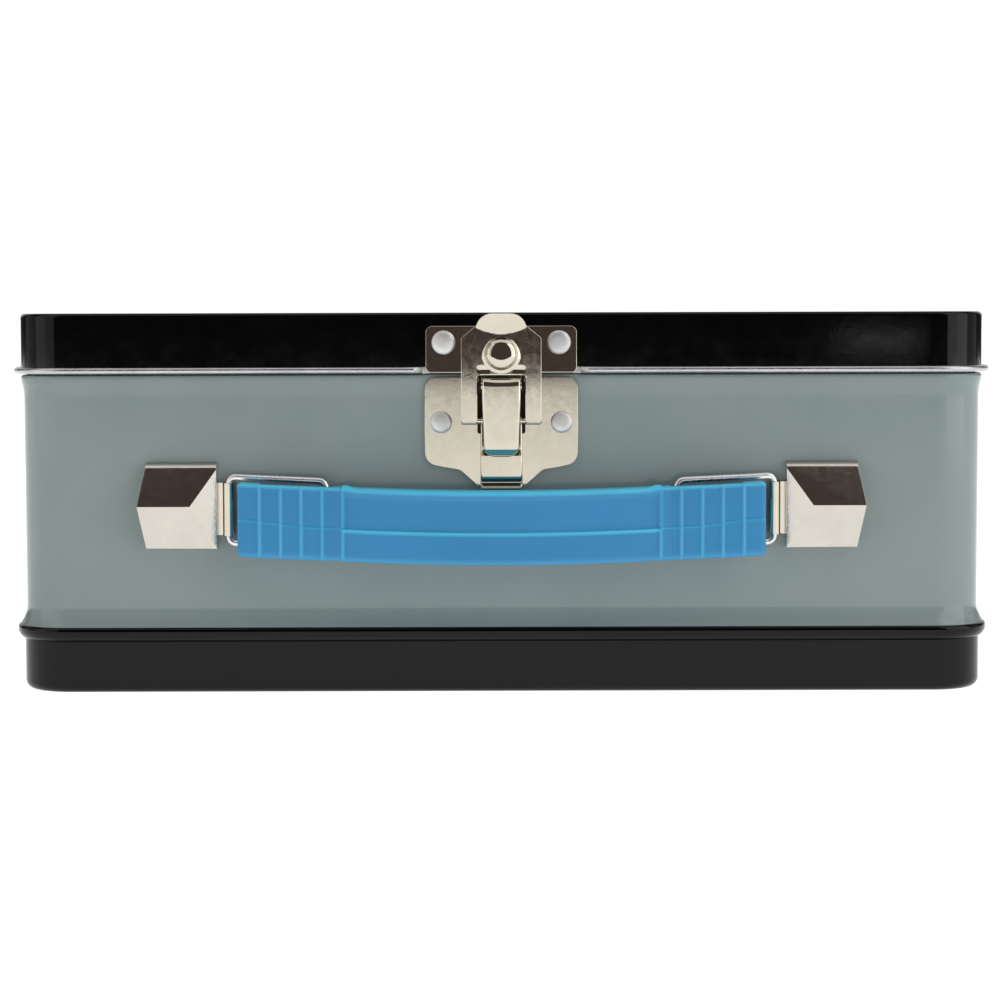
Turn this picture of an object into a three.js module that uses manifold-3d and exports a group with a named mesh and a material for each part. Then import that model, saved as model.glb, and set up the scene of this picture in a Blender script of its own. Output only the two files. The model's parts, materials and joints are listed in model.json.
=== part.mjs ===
// A tinplate carry case with a hinged lid, a toggle latch, a folding handle and two lift-out trays.
// Millimetres, +Z up, +X to the right of someone facing the latch, which is on the -Y side.
// The origin is the centre of the underside.
import * as THREE from "three";
import { ConvexGeometry } from "three/addons/geometries/ConvexGeometry.js";
import { mergeVertices } from "three/addons/utils/BufferGeometryUtils.js";
import Module from "manifold-3d";

const wasm = await Module();
wasm.setup();

// ---------------------------------------------------------------- case shell
const HALF_X = 98.5;             // half length of the straight walls, outside
const HALF_Y = 84.0;             // half depth of the straight walls, outside
const CORNER_R = 10.5;           // plan radius of the vertical corners
const CORNER_STEPS = 5;
const EDGE_STEPS = 3;            // steps of the small roundings along the pans
const COARSE_STEPS = 2;          // steps of roundings that are hidden or very small
const TOTAL_H = 77.0;
const SHEET = 0.5;               // tinplate thickness
const ROLL_OUTSET = 1.4;         // how far the rolled edges stand out from the walls

const PAN_EDGE_R = 1.8;          // rounding between the underside and the base wall
const BEAD_R = 2.2;              // profile radius of the seam bead round the base
const BEAD_TIP_Z = 12.5;
const BEAD_TOP_Z = 13.4;
const GROOVE_INNER = 0.35;       // seam groove that holds the band's lower edge
const GROOVE_OUTER = 0.95;
const GROOVE_FLOOR_Z = 11.6;

const TONGUE_OUTER = 0.9;        // outset of the band's lower edge
const WAIST = -0.5;              // outset of the band between its flares
const LOW_FLARE_Z = 17.5;
const HIGH_FLARE_Z = 59.9;
const HIGH_FLARE_END_Z = 63.2;
const FLARE_STEPS = 4;
const ROLL_STEPS = 5;            // steps of the seam bead and of the lid's rolled edge
const BAND_TOP_Z = 64.5;
const BAND_BACK_Y = HALF_Y + WAIST;
const BAND_FRONT_Y = -BAND_BACK_Y;
const NECK_OUTSET = -1.2;        // the neck rises inside the lid
const NECK_TOP_Z = 68.5;
const RIM_START_Z = 60.0;        // where the rolled rim begins to thicken inside
const RIM_FULL_Z = 62.0;
const LAP_HALF_W = 4.0;          // soldered lap seam at the back
const LAP_PROUD = 0.3;

const LID_BOTTOM_Z = 64.8;
const CURL_R = 0.65;             // radius of the lid's rolled edge
const LID_EDGE_R = 0.8;
const PANEL_INSET = 8.5;         // the lid's top panel is pressed down inside this border
const PANEL_DEPTH = 0.7;

// ---------------------------------------------------------------- rivets and pins
const ROUND = 12;                // sides of every small round
const RIVET_SHANK_R = 0.9;
const RIVET_HOLE_R = 1.2;
const RIVET_TAIL_R = 1.8;
const RIVET_TAIL_T = 0.6;
const PIN_CLEARANCE = 0.1;
const OVERSHOOT = 2.0;           // how far a cutting solid runs past the face it cuts

// ---------------------------------------------------------------- hinges, at the back
const HINGE_X = 55.0;
const HINGE_Y = 86.6;
const HINGE_Z = 65.0;
const HINGE_HALF_W = 12.0;
const KNUCKLE_R = 1.6;
const HINGE_PIN_R = 0.8;
const LEAF_T = 0.8;
const CENTRE_KNUCKLE_HALF = 4.0;
const KNUCKLE_GAP = 0.3;
const BODY_LEAF_LOW_Z = 53.5;
const BODY_LEAF_TOP_Z = 63.8;
const LID_LEAF_LOW_Z = 65.6;
const LID_LEAF_TOP_Z = 75.0;
const WEB_T = 0.8;
const WEB_REACH = 2.0;           // the web runs this far from its leaf into the knuckle
const HINGE_RIVET_X = 8.0;
const BODY_LEAF_RIVET_Z = 57.5;
const LID_LEAF_RIVET_Z = 71.5;
const HINGE_RIVET_HEAD_R = 2.0;
const FLAT_MARGIN = 0.3;         // the walls are pressed flat this far past a fitting

// ---------------------------------------------------------------- latch, at the front
const PLATE_T = 0.8;
const LID_PLATE = { halfX: 15.2, low: 64.9, high: 74.3, corner: 1.2 };
const LID_RIVET = { x: 11.6, z: 71.0, headR: 2.4, headH: 1.1 };
const DETENT = { z: 68.5, radius: 1.7, height: 0.8 };
const BASE_PLATE_TOP_Z = 63.1;
const BASE_PLATE_SIDE = [
  [13.3, BASE_PLATE_TOP_Z], [14.9, 62.4], [15.4, 60.8], [15.4, 48.2], [14.8, 46.7], [12.9, 45.9], [8.2, 45.3],
];
const BASE_RIVET = { x: 12.15, z: 54.9, headR: 2.2, headH: 1.1 };
const CHANNEL = { halfX: 4.3, low: 40.6, high: 47.2, proud: 2.0, neckZ: 42.0 };
const EAR_INNER_X = 4.05;
const EAR_T = 0.6;
const EAR_R = 1.8;
const EAR_STEPS = 6;
const LEVER_PIVOT = { y: -86.9, z: 62.3, pinR: 0.9 };
const LEVER = {
  halfX: 3.9, wall: 0.8, faceY: -89.4, faceTop: 60.6, faceLow: 49.6, browRise: 0.4, rollR: 1.8, bossR: 1.45,
};
const LEVER_LIP = { depth: 1.4, low: 48.1, bendDepth: 0.5, bendZ: 48.5, innerZ: 49.0 };
const LEVER_WEB = {
  footDepth: 1.6, footZ: 49.4, waistDepth: 0.2, waistZ: 53.4, heelDepth: 0.3, heelDrop: 0.6,
};
const HASP_PIVOT = { y: -86.45, z: 55.3, pinR: 0.8 };
const HASP = { halfX: 8.05, backY: -86.0, sheet: 0.9, windowHalfX: 4.85, windowTopZ: 64.4, rollR: 1.6 };
const HASP_TAB_SIDE = [[2.6, 76.8], [4.3, 75.9], [5.0, 74.6], [5.2, 73.3], [HASP.halfX, 71.8]];
const DOME = { z: 68.5, radius: 3.25, height: 2.0, wall: 0.6, steps: 4 };
const PIN_HEAD = { radius: 1.2, length: 0.5 };

// ---------------------------------------------------------------- handle
const KNUCKLE_X = 55.0;          // the rings turn about vertical axes here
const KNUCKLE_Y = -85.5;
const STRAP = { low: 32.2, high: 42.9, tailX: 68.5, thick: 1.0, rollR: 1.2, boreR: 0.8 };
const STRAP_RIVET = { x: 64.0, spread: 3.0, headR: 1.7, headH: 0.9 };
const CAP = {
  innerX: 57.4, outerX: 71.8, apexX: 73.2, ridgeX: 62.6, low: 29.6, high: 46.9,
  height: 5.2, flange: 1.2, hipFlange: 2.6, wall: 0.8,
};
const CAP_RIDGE_WALL = 1.4;      // the hollow's ridge stands back further than its sides, by this factor
const CAP_TAB = { x: 66.0, halfW: 2.5, thick: 0.7, depth: 1.4, slack: 0.3 };
const RING = { wireR: 0.7, low: 30.7, high: 44.1, length: 20.0, restDeg: 8.0, droop: 0.7, bendR: 1.2 };
const BUTT_GAP = 0.3;            // the wire's two ends face each other inside the clip
const WIRE_SIDES = 8;
const GRIP = {
  halfX: 52.7, halfH: 7.4, thick: 6.0, backY: -86.1, edgeR: 1.6,
  endZ: 35.8, sag: 1.5, bow: 3.8, bowHalfX: 33.8,
};
const GRIP_SECTIONS = 12;
const GRIP_LEAD_IN = 2.0;        // how far the grip's end sections reach over its pockets
const POCKET = { innerX: 33.8, outerX: 48.3, rearY: -87.42, frontY: -90.7, floorZ: 29.1 };
const BRIDGE = { low: 32.6, high: 39.3 };

// ---------------------------------------------------------------- trays
const TRAY = {
  halfX: 94.3, halfY: 80.2, corner: 8.0, draft: 1.2, wall: 1.4, floor: 1.4, rim: 1.2, rimH: 1.6,
};
const LOWER_TRAY = { low: 0.5, high: 33.0 };
const UPPER_TRAY = { low: 33.0, high: 58.0 };
const TRAY_COLUMNS = 3;
const LONG_SHARE = 0.42;         // share of the lower tray's depth given to its long compartment
const COMPARTMENT_CORNER = 4.0;
const NOTCH_R = 9.0;             // finger notches in the end walls of the upper tray

const Y_AXIS = new THREE.Vector3(0, 1, 0);
const Z_AXIS = new THREE.Vector3(0, 0, 1);
const X_AXIS = new THREE.Vector3(1, 0, 0);
const WELD = 1e-4;

function finish(color, roughness, metalness) {
  return () => new THREE.MeshStandardMaterial({ color, roughness, metalness });
}

const blackEnamel = finish(0x0b0b0c, 0.15, 0.0);
const greyEnamel = finish(0x7f8e8d, 0.2, 0.0);
const nickel = finish(0xc9c3b6, 0.2, 1.0);
const aluminium = finish(0xb4b7b9, 0.35, 1.0);
const steelWire = finish(0xa8aeb0, 0.25, 1.0);
const bluePlastic = finish(0x3b82ae, 0.45, 0.0);
const trayPlastic = finish(0xd5d8d4, 0.5, 0.0);

// ---------------------------------------------------------------- helpers
function toSolid(geometry) {
  const bare = geometry.index ? geometry.toNonIndexed() : geometry.clone();
  bare.deleteAttribute("normal");
  bare.deleteAttribute("uv");
  const welded = mergeVertices(bare, WELD);
  const mesh = new wasm.Mesh({
    numProp: 3,
    vertProperties: Float32Array.from(welded.attributes.position.array),
    triVerts: Uint32Array.from(welded.index.array),
  });
  return new wasm.Manifold(mesh);
}

function toGeometry(solid) {
  const mesh = solid.getMesh();
  const geometry = new THREE.BufferGeometry();
  geometry.setAttribute("position", new THREE.BufferAttribute(Float32Array.from(mesh.vertProperties), 3));
  geometry.setIndex(new THREE.BufferAttribute(Uint32Array.from(mesh.triVerts), 1));
  return geometry;
}

function join(pieces) {
  return toGeometry(pieces.map(toSolid).reduce((whole, piece) => whole.add(piece)));
}

function cut(geometry, tools) {
  return toGeometry(tools.map(toSolid).reduce((rest, tool) => rest.subtract(tool), toSolid(geometry)));
}

function block(lowCorner, highCorner) {
  const low = new THREE.Vector3(...lowCorner);
  const high = new THREE.Vector3(...highCorner);
  const size = high.clone().sub(low);
  const centre = low.add(high).multiplyScalar(0.5);
  return new THREE.BoxGeometry(size.x, size.y, size.z).translate(centre.x, centre.y, centre.z);
}

// A block given for the right-hand side, mirrored to the other side when side is -1.
function sideBlock(side, [x0, y0, z0], [x1, y1, z1]) {
  const xs = [side * x0, side * x1].sort((a, b) => a - b);
  return block([xs[0], y0, z0], [xs[1], y1, z1]);
}

function rodAlongX(radius, x0, x1, y, z) {
  const rod = new THREE.CylinderGeometry(radius, radius, x1 - x0, ROUND).rotateZ(Math.PI / 2);
  return rod.translate((x0 + x1) / 2, y, z);
}

function rodAlongY(radius, x, y0, y1, z) {
  return new THREE.CylinderGeometry(radius, radius, y1 - y0, ROUND).translate(x, (y0 + y1) / 2, z);
}

function rodAlongZ(radius, x, y, z0, z1) {
  const rod = new THREE.CylinderGeometry(radius, radius, z1 - z0, ROUND).rotateX(Math.PI / 2);
  return rod.translate(x, y, (z0 + z1) / 2);
}

// Points of an arc, in the plane of whatever profile it belongs to.
function arc(centreA, centreB, radius, fromDeg, toDeg, steps) {
  return Array.from({ length: steps + 1 }, (_, step) => {
    const angle = THREE.MathUtils.degToRad(fromDeg + ((toDeg - fromDeg) * step) / steps);
    return [centreA + radius * Math.cos(angle), centreB + radius * Math.sin(angle)];
  });
}

function roundedRectangle(halfA, halfB, radius, steps) {
  const corners = [[1, 1], [-1, 1], [-1, -1], [1, -1]];
  return corners.flatMap(([signA, signB], quarter) => {
    const centreA = signA * (halfA - radius);
    const centreB = signB * (halfB - radius);
    return arc(centreA, centreB, radius, quarter * 90, quarter * 90 + 90, steps);
  });
}

// A closed body through equal rings of points, capped at both ends by fans.
function loft(rings) {
  const count = rings[0].length;
  const centres = [rings[0], rings.at(-1)].map((ring) => {
    const sum = ring.reduce((total, point) => total.add(point), new THREE.Vector3());
    return sum.divideScalar(count);
  });
  const points = [...rings.flat(), ...centres];
  const lastRing = (rings.length - 1) * count;
  const bottomCentre = rings.length * count;
  const faces = [];
  for (let i = 0; i < count; i += 1) {
    const next = (i + 1) % count;
    for (let base = 0; base < lastRing; base += count) {
      faces.push(base + i, base + next, base + count + next);
      faces.push(base + i, base + count + next, base + count + i);
    }
    faces.push(bottomCentre, next, i);
    faces.push(bottomCentre + 1, lastRing + i, lastRing + next);
  }
  const geometry = new THREE.BufferGeometry().setFromPoints(points);
  geometry.setIndex(faces);
  return geometry;
}

// The case's own outline moved outwards by the first number of each level, at its second.
function shellStack(levels) {
  return loft(levels.map(([outset, z]) => {
    const ring = roundedRectangle(HALF_X + outset, HALF_Y + outset, CORNER_R + outset, CORNER_STEPS);
    return ring.map(([x, y]) => new THREE.Vector3(x, y, z));
  }));
}

// A flat shape drawn in X and Z, with its back at backY and its face thick towards the front.
function frontPlate(shape, backY, thick) {
  const geometry = new THREE.ExtrudeGeometry(shape, { depth: thick, bevelEnabled: false });
  return geometry.rotateX(Math.PI / 2).translate(0, backY, 0);
}

// A flat shape drawn in Y and Z, running from x0 to x1.
function sidePlate(points, x0, x1) {
  const shape = new THREE.Shape(points.map(([y, z]) => new THREE.Vector2(y, z)));
  const geometry = new THREE.ExtrudeGeometry(shape, { depth: x1 - x0, bevelEnabled: false });
  const turn = new THREE.Matrix4().makeBasis(Y_AXIS, Z_AXIS, X_AXIS);
  return geometry.applyMatrix4(turn).translate(x0, 0, 0);
}

function symmetricShape(rightPoints) {
  const right = rightPoints.map(([x, z]) => new THREE.Vector2(x, z));
  const left = rightPoints.map(([x, z]) => new THREE.Vector2(-x, z)).reverse();
  return new THREE.Shape([...right, ...left]);
}

function part(name, geometry, material) {
  const mesh = new THREE.Mesh(geometry, material());
  mesh.name = name;
  return mesh;
}

function sideName(side) {
  return side < 0 ? "left" : "right";
}

// ---------------------------------------------------------------- rivets and pins
// A rivet along its own Y: the head stands on y = 0 and the tail closes on y = -grip.
function rivetGeometry(headR, headH, grip) {
  const dome = arc(0, 0, 1, 0, 90, EDGE_STEPS).map(([a, b]) => new THREE.Vector2(a * headR, b * headH));
  dome.at(-1).x = 0;
  const profile = [
    new THREE.Vector2(0, -grip - RIVET_TAIL_T),
    new THREE.Vector2(RIVET_TAIL_R, -grip - RIVET_TAIL_T),
    new THREE.Vector2(RIVET_TAIL_R, -grip),
    new THREE.Vector2(RIVET_SHANK_R, -grip),
    new THREE.Vector2(RIVET_SHANK_R, 0),
    ...dome,
  ];
  return new THREE.LatheGeometry(profile, ROUND);
}

// A rivet through a front (facing -1) or back (facing +1) wall, its head standing on headY.
function rivet(name, facing, size, x, headY, z, grip) {
  const mesh = part(name, rivetGeometry(size.headR, size.headH, grip), aluminium);
  mesh.position.set(x, headY, z);
  mesh.rotation.x = facing < 0 ? Math.PI : 0;
  return mesh;
}

function rivetHole(x, wallY, z) {
  return rodAlongY(RIVET_HOLE_R, x, wallY - OVERSHOOT, wallY + OVERSHOOT, z);
}

// ---------------------------------------------------------------- shells
function lowFlare(inset) {
  return Array.from({ length: FLARE_STEPS + 1 }, (_, step) => {
    const along = 1 - step / FLARE_STEPS;
    const outset = WAIST + (TONGUE_OUTER - WAIST) * along ** 2;
    return [outset - inset, LOW_FLARE_Z + (BEAD_TOP_Z - LOW_FLARE_Z) * along];
  });
}

function highFlare() {
  return Array.from({ length: FLARE_STEPS + 1 }, (_, step) => {
    const along = step / FLARE_STEPS;
    return [WAIST * (1 - along ** 2), HIGH_FLARE_Z + (HIGH_FLARE_END_Z - HIGH_FLARE_Z) * along];
  });
}

function basePan() {
  const beadCentre = ROLL_OUTSET - BEAD_R;
  const beadStart = -THREE.MathUtils.radToDeg(Math.acos(-beadCentre / BEAD_R));
  const beadEnd = THREE.MathUtils.radToDeg(Math.asin((BEAD_TOP_Z - BEAD_TIP_Z) / BEAD_R));
  const outside = shellStack([
    ...arc(-PAN_EDGE_R, PAN_EDGE_R, PAN_EDGE_R, -90, 0, EDGE_STEPS),
    ...arc(beadCentre, BEAD_TIP_Z, BEAD_R, beadStart, beadEnd, ROLL_STEPS),
  ]);
  const inside = shellStack([
    ...arc(-PAN_EDGE_R, PAN_EDGE_R, PAN_EDGE_R - SHEET, -90, 0, COARSE_STEPS),
    [-SHEET, BEAD_TOP_Z + OVERSHOOT],
  ]);
  const groove = cut(
    shellStack([[GROOVE_OUTER, GROOVE_FLOOR_Z], [GROOVE_OUTER, BEAD_TOP_Z + OVERSHOOT]]),
    [shellStack([[GROOVE_INNER, GROOVE_FLOOR_Z - OVERSHOOT], [GROOVE_INNER, BEAD_TOP_Z + 2 * OVERSHOOT]])],
  );
  return cut(outside, [inside, groove]);
}

function bandHoles() {
  const front = BAND_FRONT_Y;
  const latch = [-1, 1].map((side) => rivetHole(side * BASE_RIVET.x, -HALF_Y, BASE_RIVET.z));
  const hinges = [-1, 1].flatMap((side) => [-1, 1].map((end) => {
    return rivetHole(side * HINGE_X + end * HINGE_RIVET_X, HALF_Y, BODY_LEAF_RIVET_Z);
  }));
  const straps = [-1, 1].flatMap((side) => strapRivetHeights().map((z) => {
    return rivetHole(side * STRAP_RIVET.x, -HALF_Y, z);
  }));
  const tabs = [-1, 1].flatMap((side) => capTabSpans().map(([low, high]) => {
    const reach = CAP_TAB.halfW + CAP_TAB.slack;
    return sideBlock(
      side,
      [CAP_TAB.x - reach, front - OVERSHOOT, low - CAP_TAB.slack],
      [CAP_TAB.x + reach, front + OVERSHOOT, high + CAP_TAB.slack],
    );
  }));
  return [...latch, ...hinges, ...straps, ...tabs];
}

// Where a fitting is riveted on, the wall is pressed flat to the given distance from the centre.
function pressedFlats(latchHalfX, flatY, low, high) {
  const reach = HINGE_HALF_W + FLAT_MARGIN;
  const beyond = HALF_Y + OVERSHOOT;
  const hinges = [-1, 1].map((side) => {
    return block([side * HINGE_X - reach, flatY, low], [side * HINGE_X + reach, beyond, high]);
  });
  const half = latchHalfX + FLAT_MARGIN;
  return [...hinges, block([-half, -beyond, low], [half, -flatY, high])];
}

function bodyBand() {
  const outside = shellStack([
    [TONGUE_OUTER, GROOVE_FLOOR_Z],
    ...lowFlare(0),
    ...highFlare(),
    [0, BAND_TOP_Z],
    [NECK_OUTSET, BAND_TOP_Z],
    [NECK_OUTSET, NECK_TOP_Z],
  ]);
  const inside = shellStack([
    [TONGUE_OUTER - SHEET, GROOVE_FLOOR_Z - OVERSHOOT],
    ...lowFlare(SHEET),
    [WAIST - SHEET, RIM_START_Z],
    [NECK_OUTSET - SHEET, RIM_FULL_Z],
    [NECK_OUTSET - SHEET, NECK_TOP_Z + OVERSHOOT],
  ]);
  const lap = block(
    [-LAP_HALF_W, BAND_BACK_Y - SHEET / 2, LOW_FLARE_Z],
    [LAP_HALF_W, BAND_BACK_Y + LAP_PROUD, HIGH_FLARE_Z],
  );
  const above = BAND_TOP_Z + OVERSHOOT;
  const flats = pressedFlats(LID_PLATE.halfX + FLAT_MARGIN, BAND_BACK_Y, HIGH_FLARE_Z, above);
  return cut(join([cut(outside, [inside]), lap]), [...flats, ...bandHoles()]);
}

function lidPan() {
  const curlCentre = ROLL_OUTSET - CURL_R;
  const outside = shellStack([
    ...arc(curlCentre, LID_BOTTOM_Z + CURL_R, CURL_R, -90, 90, ROLL_STEPS),
    [0, LID_BOTTOM_Z + 2 * CURL_R],
    ...arc(-LID_EDGE_R, TOTAL_H - LID_EDGE_R, LID_EDGE_R, 0, 90, EDGE_STEPS),
    [-PANEL_INSET, TOTAL_H],
    [-PANEL_INSET - PANEL_DEPTH, TOTAL_H - PANEL_DEPTH],
  ]);
  const inside = shellStack([
    [-SHEET, LID_BOTTOM_Z - OVERSHOOT],
    ...arc(-LID_EDGE_R, TOTAL_H - LID_EDGE_R, LID_EDGE_R - SHEET, 0, 90, COARSE_STEPS),
    [-PANEL_INSET + SHEET / 2, TOTAL_H - SHEET],
    [-PANEL_INSET - PANEL_DEPTH + SHEET / 2, TOTAL_H - PANEL_DEPTH - SHEET],
  ]);
  const curlTop = LID_BOTTOM_Z + 2 * CURL_R + FLAT_MARGIN;
  const flats = pressedFlats(LID_PLATE.halfX, HALF_Y, LID_BOTTOM_Z - OVERSHOOT, curlTop);
  const latch = [-1, 1].map((side) => rivetHole(side * LID_RIVET.x, -HALF_Y, LID_RIVET.z));
  const hinges = [-1, 1].flatMap((side) => [-1, 1].map((end) => {
    return rivetHole(side * HINGE_X + end * HINGE_RIVET_X, HALF_Y, LID_LEAF_RIVET_Z);
  }));
  return cut(outside, [inside, ...flats, ...latch, ...hinges]);
}

// ---------------------------------------------------------------- hinges
// Hinge leaves are drawn about the hinge's own axis.
function hingeLeaf(leafBackY, low, high, knuckles, webLow, rivetZ) {
  const back = leafBackY - HINGE_Y;
  const sheet = block([-HINGE_HALF_W, back, low - HINGE_Z], [HINGE_HALF_W, back + LEAF_T, high - HINGE_Z]);
  const curled = knuckles.flatMap(([x0, x1]) => [
    rodAlongX(KNUCKLE_R, x0, x1, 0, 0),
    block([x0, back, webLow - HINGE_Z], [x1, back + LEAF_T + WEB_REACH, webLow + WEB_T - HINGE_Z]),
  ]);
  const reach = HINGE_HALF_W + OVERSHOOT;
  const bore = rodAlongX(HINGE_PIN_R + PIN_CLEARANCE, -reach, reach, 0, 0);
  const holes = [-1, 1].map((end) => {
    return rivetHole(end * HINGE_RIVET_X, back, rivetZ - HINGE_Z);
  });
  return cut(join([sheet, ...curled]), [bore, ...holes]);
}

function hinge(side) {
  const name = `hinge_${sideName(side)}`;
  const outerStart = CENTRE_KNUCKLE_HALF + KNUCKLE_GAP;
  const outerKnuckles = [[-HINGE_HALF_W, -outerStart], [outerStart, HINGE_HALF_W]];
  const centreKnuckle = [[-CENTRE_KNUCKLE_HALF, CENTRE_KNUCKLE_HALF]];
  const bodyWall = BAND_BACK_Y;
  const bodyLeaf = hingeLeaf(
    bodyWall, BODY_LEAF_LOW_Z, BODY_LEAF_TOP_Z, outerKnuckles, BODY_LEAF_TOP_Z - WEB_T, BODY_LEAF_RIVET_Z,
  );
  const lidLeaf = hingeLeaf(
    HALF_Y, LID_LEAF_LOW_Z, LID_LEAF_TOP_Z, centreKnuckle, LID_LEAF_LOW_Z, LID_LEAF_RIVET_Z,
  );
  const size = { headR: HINGE_RIVET_HEAD_R, headH: LEAF_T };
  const rivets = [-1, 1].flatMap((end) => {
    const number = end < 0 ? 1 : 2;
    const x = end * HINGE_RIVET_X;
    const bodyHead = bodyWall + LEAF_T - HINGE_Y;
    const lidHead = HALF_Y + LEAF_T - HINGE_Y;
    const bodyZ = BODY_LEAF_RIVET_Z - HINGE_Z;
    const lidZ = LID_LEAF_RIVET_Z - HINGE_Z;
    return [
      rivet(`${name}_body_rivet_${number}`, 1, size, x, bodyHead, bodyZ, LEAF_T + SHEET),
      rivet(`${name}_lid_rivet_${number}`, 1, size, x, lidHead, lidZ, LEAF_T + SHEET),
    ];
  });
  const group = new THREE.Group();
  group.position.set(side * HINGE_X, HINGE_Y, HINGE_Z);
  group.add(
    part(`${name}_body_leaf`, bodyLeaf, nickel),
    part(`${name}_lid_leaf`, lidLeaf, nickel),
    part(`${name}_pin`, rodAlongX(HINGE_PIN_R, -HINGE_HALF_W, HINGE_HALF_W, 0, 0), steelWire),
    ...rivets,
  );
  return group;
}

// ---------------------------------------------------------------- latch
function latchLidPlate() {
  const { halfX, low, high, corner } = LID_PLATE;
  const middle = (low + high) / 2;
  const ring = roundedRectangle(halfX, (high - low) / 2, corner, COARSE_STEPS);
  const shape = new THREE.Shape(ring.map(([x, z]) => new THREE.Vector2(x, z + middle)));
  const plate = frontPlate(shape, -HALF_Y, PLATE_T);
  const face = -HALF_Y - PLATE_T;
  const bumpH = DETENT.height + PLATE_T / 2;
  const bump = new THREE.CylinderGeometry(DETENT.radius, DETENT.radius / 2, bumpH, ROUND);
  bump.translate(0, face - DETENT.height + bumpH / 2, DETENT.z);
  const holes = [-1, 1].map((side) => rivetHole(side * LID_RIVET.x, -HALF_Y, LID_RIVET.z));
  return cut(join([plate, bump]), holes);
}

function latchEar(side) {
  const { y, z } = LEVER_PIVOT;
  const footY = BAND_FRONT_Y - PLATE_T / 2;
  const outline = [...arc(y, z, EAR_R, 90, 270, EAR_STEPS), [footY, z - EAR_R], [footY, BASE_PLATE_TOP_Z]];
  const inner = side * EAR_INNER_X;
  const outer = side * (EAR_INNER_X + EAR_T);
  return sidePlate(outline, Math.min(inner, outer), Math.max(inner, outer));
}

function latchBasePlate() {
  const back = BAND_FRONT_Y;
  const { halfX, low, high, proud, neckZ } = CHANNEL;
  const outline = symmetricShape([...BASE_PLATE_SIDE, [halfX, neckZ], [halfX, low]]);
  const pocket = block([-halfX, back - proud, low], [halfX, back, high]);
  const pinHole = rodAlongX(
    LEVER_PIVOT.pinR + PIN_CLEARANCE, -HASP.halfX, HASP.halfX, LEVER_PIVOT.y, LEVER_PIVOT.z,
  );
  const holes = [-1, 1].map((side) => rivetHole(side * BASE_RIVET.x, -HALF_Y, BASE_RIVET.z));
  const whole = join([frontPlate(outline, back, PLATE_T), pocket, latchEar(-1), latchEar(1)]);
  return cut(whole, [pinHole, ...holes]);
}

// The lever's side wall in Y and Z: the front face, the curled end, the pin boss and the pivot roll.
function leverWeb() {
  const { faceY, faceTop, faceLow, browRise, rollR, bossR } = LEVER;
  const { y, z } = LEVER_PIVOT;
  return [
    [y - rollR, z + browRise],
    [faceY, faceTop],
    [faceY, faceLow],
    [faceY + LEVER_LIP.bendDepth, LEVER_LIP.bendZ],
    [faceY + LEVER_LIP.depth, LEVER_LIP.low],
    [faceY + LEVER_WEB.footDepth, LEVER_WEB.footZ],
    [HASP_PIVOT.y + LEVER_WEB.waistDepth, LEVER_WEB.waistZ],
    [HASP_PIVOT.y + bossR, HASP_PIVOT.z],
    [y + rollR - LEVER_WEB.heelDepth, z - LEVER_WEB.heelDrop],
  ].reverse();
}

function leverFront() {
  const { halfX, wall, faceY, faceTop, faceLow, browRise, rollR } = LEVER;
  const { y, z } = LEVER_PIVOT;
  const lip = [
    [faceY, faceLow], [faceY + wall, faceLow], [faceY + LEVER_LIP.depth, LEVER_LIP.innerZ],
    [faceY + LEVER_LIP.depth, LEVER_LIP.low], [faceY + LEVER_LIP.bendDepth, LEVER_LIP.bendZ],
  ];
  const brow = [
    [faceY + wall, faceTop], [y - rollR + wall, z], [y - rollR, z + browRise], [faceY, faceTop],
  ];
  return [
    block([-halfX, faceY, faceLow], [halfX, faceY + wall, faceTop]),
    sidePlate(lip, -halfX, halfX),
    sidePlate(brow, -halfX, halfX),
  ];
}

function latchLever() {
  const { halfX, wall, rollR } = LEVER;
  const { y, z, pinR } = LEVER_PIVOT;
  const web = leverWeb();
  const webs = [sidePlate(web, -halfX, -halfX + wall), sidePlate(web, halfX - wall, halfX)];
  const whole = join([...webs, ...leverFront(), rodAlongX(rollR, -halfX, halfX, y, z)]);
  const reach = halfX + OVERSHOOT;
  return cut(whole, [
    rodAlongX(pinR + PIN_CLEARANCE, -reach, reach, y, z),
    rodAlongX(HASP_PIVOT.pinR + PIN_CLEARANCE, -reach, reach, HASP_PIVOT.y, HASP_PIVOT.z),
  ]);
}

function haspDome(radius, height) {
  const profile = arc(0, 0, 1, 0, 90, DOME.steps).map(([a, b]) => new THREE.Vector2(a * radius, b * height));
  profile.at(-1).x = 0;
  const foot = [new THREE.Vector2(0, -HASP.sheet), new THREE.Vector2(radius, -HASP.sheet)];
  const dome = new THREE.LatheGeometry([...foot, ...profile], ROUND);
  return dome.rotateX(Math.PI).translate(0, HASP.backY - HASP.sheet, DOME.z);
}

function latchHasp() {
  const { halfX, backY, sheet, windowHalfX, windowTopZ, rollR } = HASP;
  const { y, z, pinR } = HASP_PIVOT;
  const arm = [[halfX, z], [windowHalfX, z], [windowHalfX, windowTopZ]];
  const outline = symmetricShape([...HASP_TAB_SIDE, ...arm]);
  const spans = [[-halfX, -windowHalfX], [windowHalfX, halfX]];
  const rolls = spans.map(([x0, x1]) => rodAlongX(rollR, x0, x1, y, z));
  const whole = join([frontPlate(outline, backY, sheet), ...rolls, haspDome(DOME.radius, DOME.height)]);
  const hollow = haspDome(DOME.radius - DOME.wall, DOME.height - DOME.wall);
  const reach = halfX + OVERSHOOT;
  return cut(whole, [hollow, rodAlongX(pinR + PIN_CLEARANCE, -reach, reach, y, z)]);
}

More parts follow.
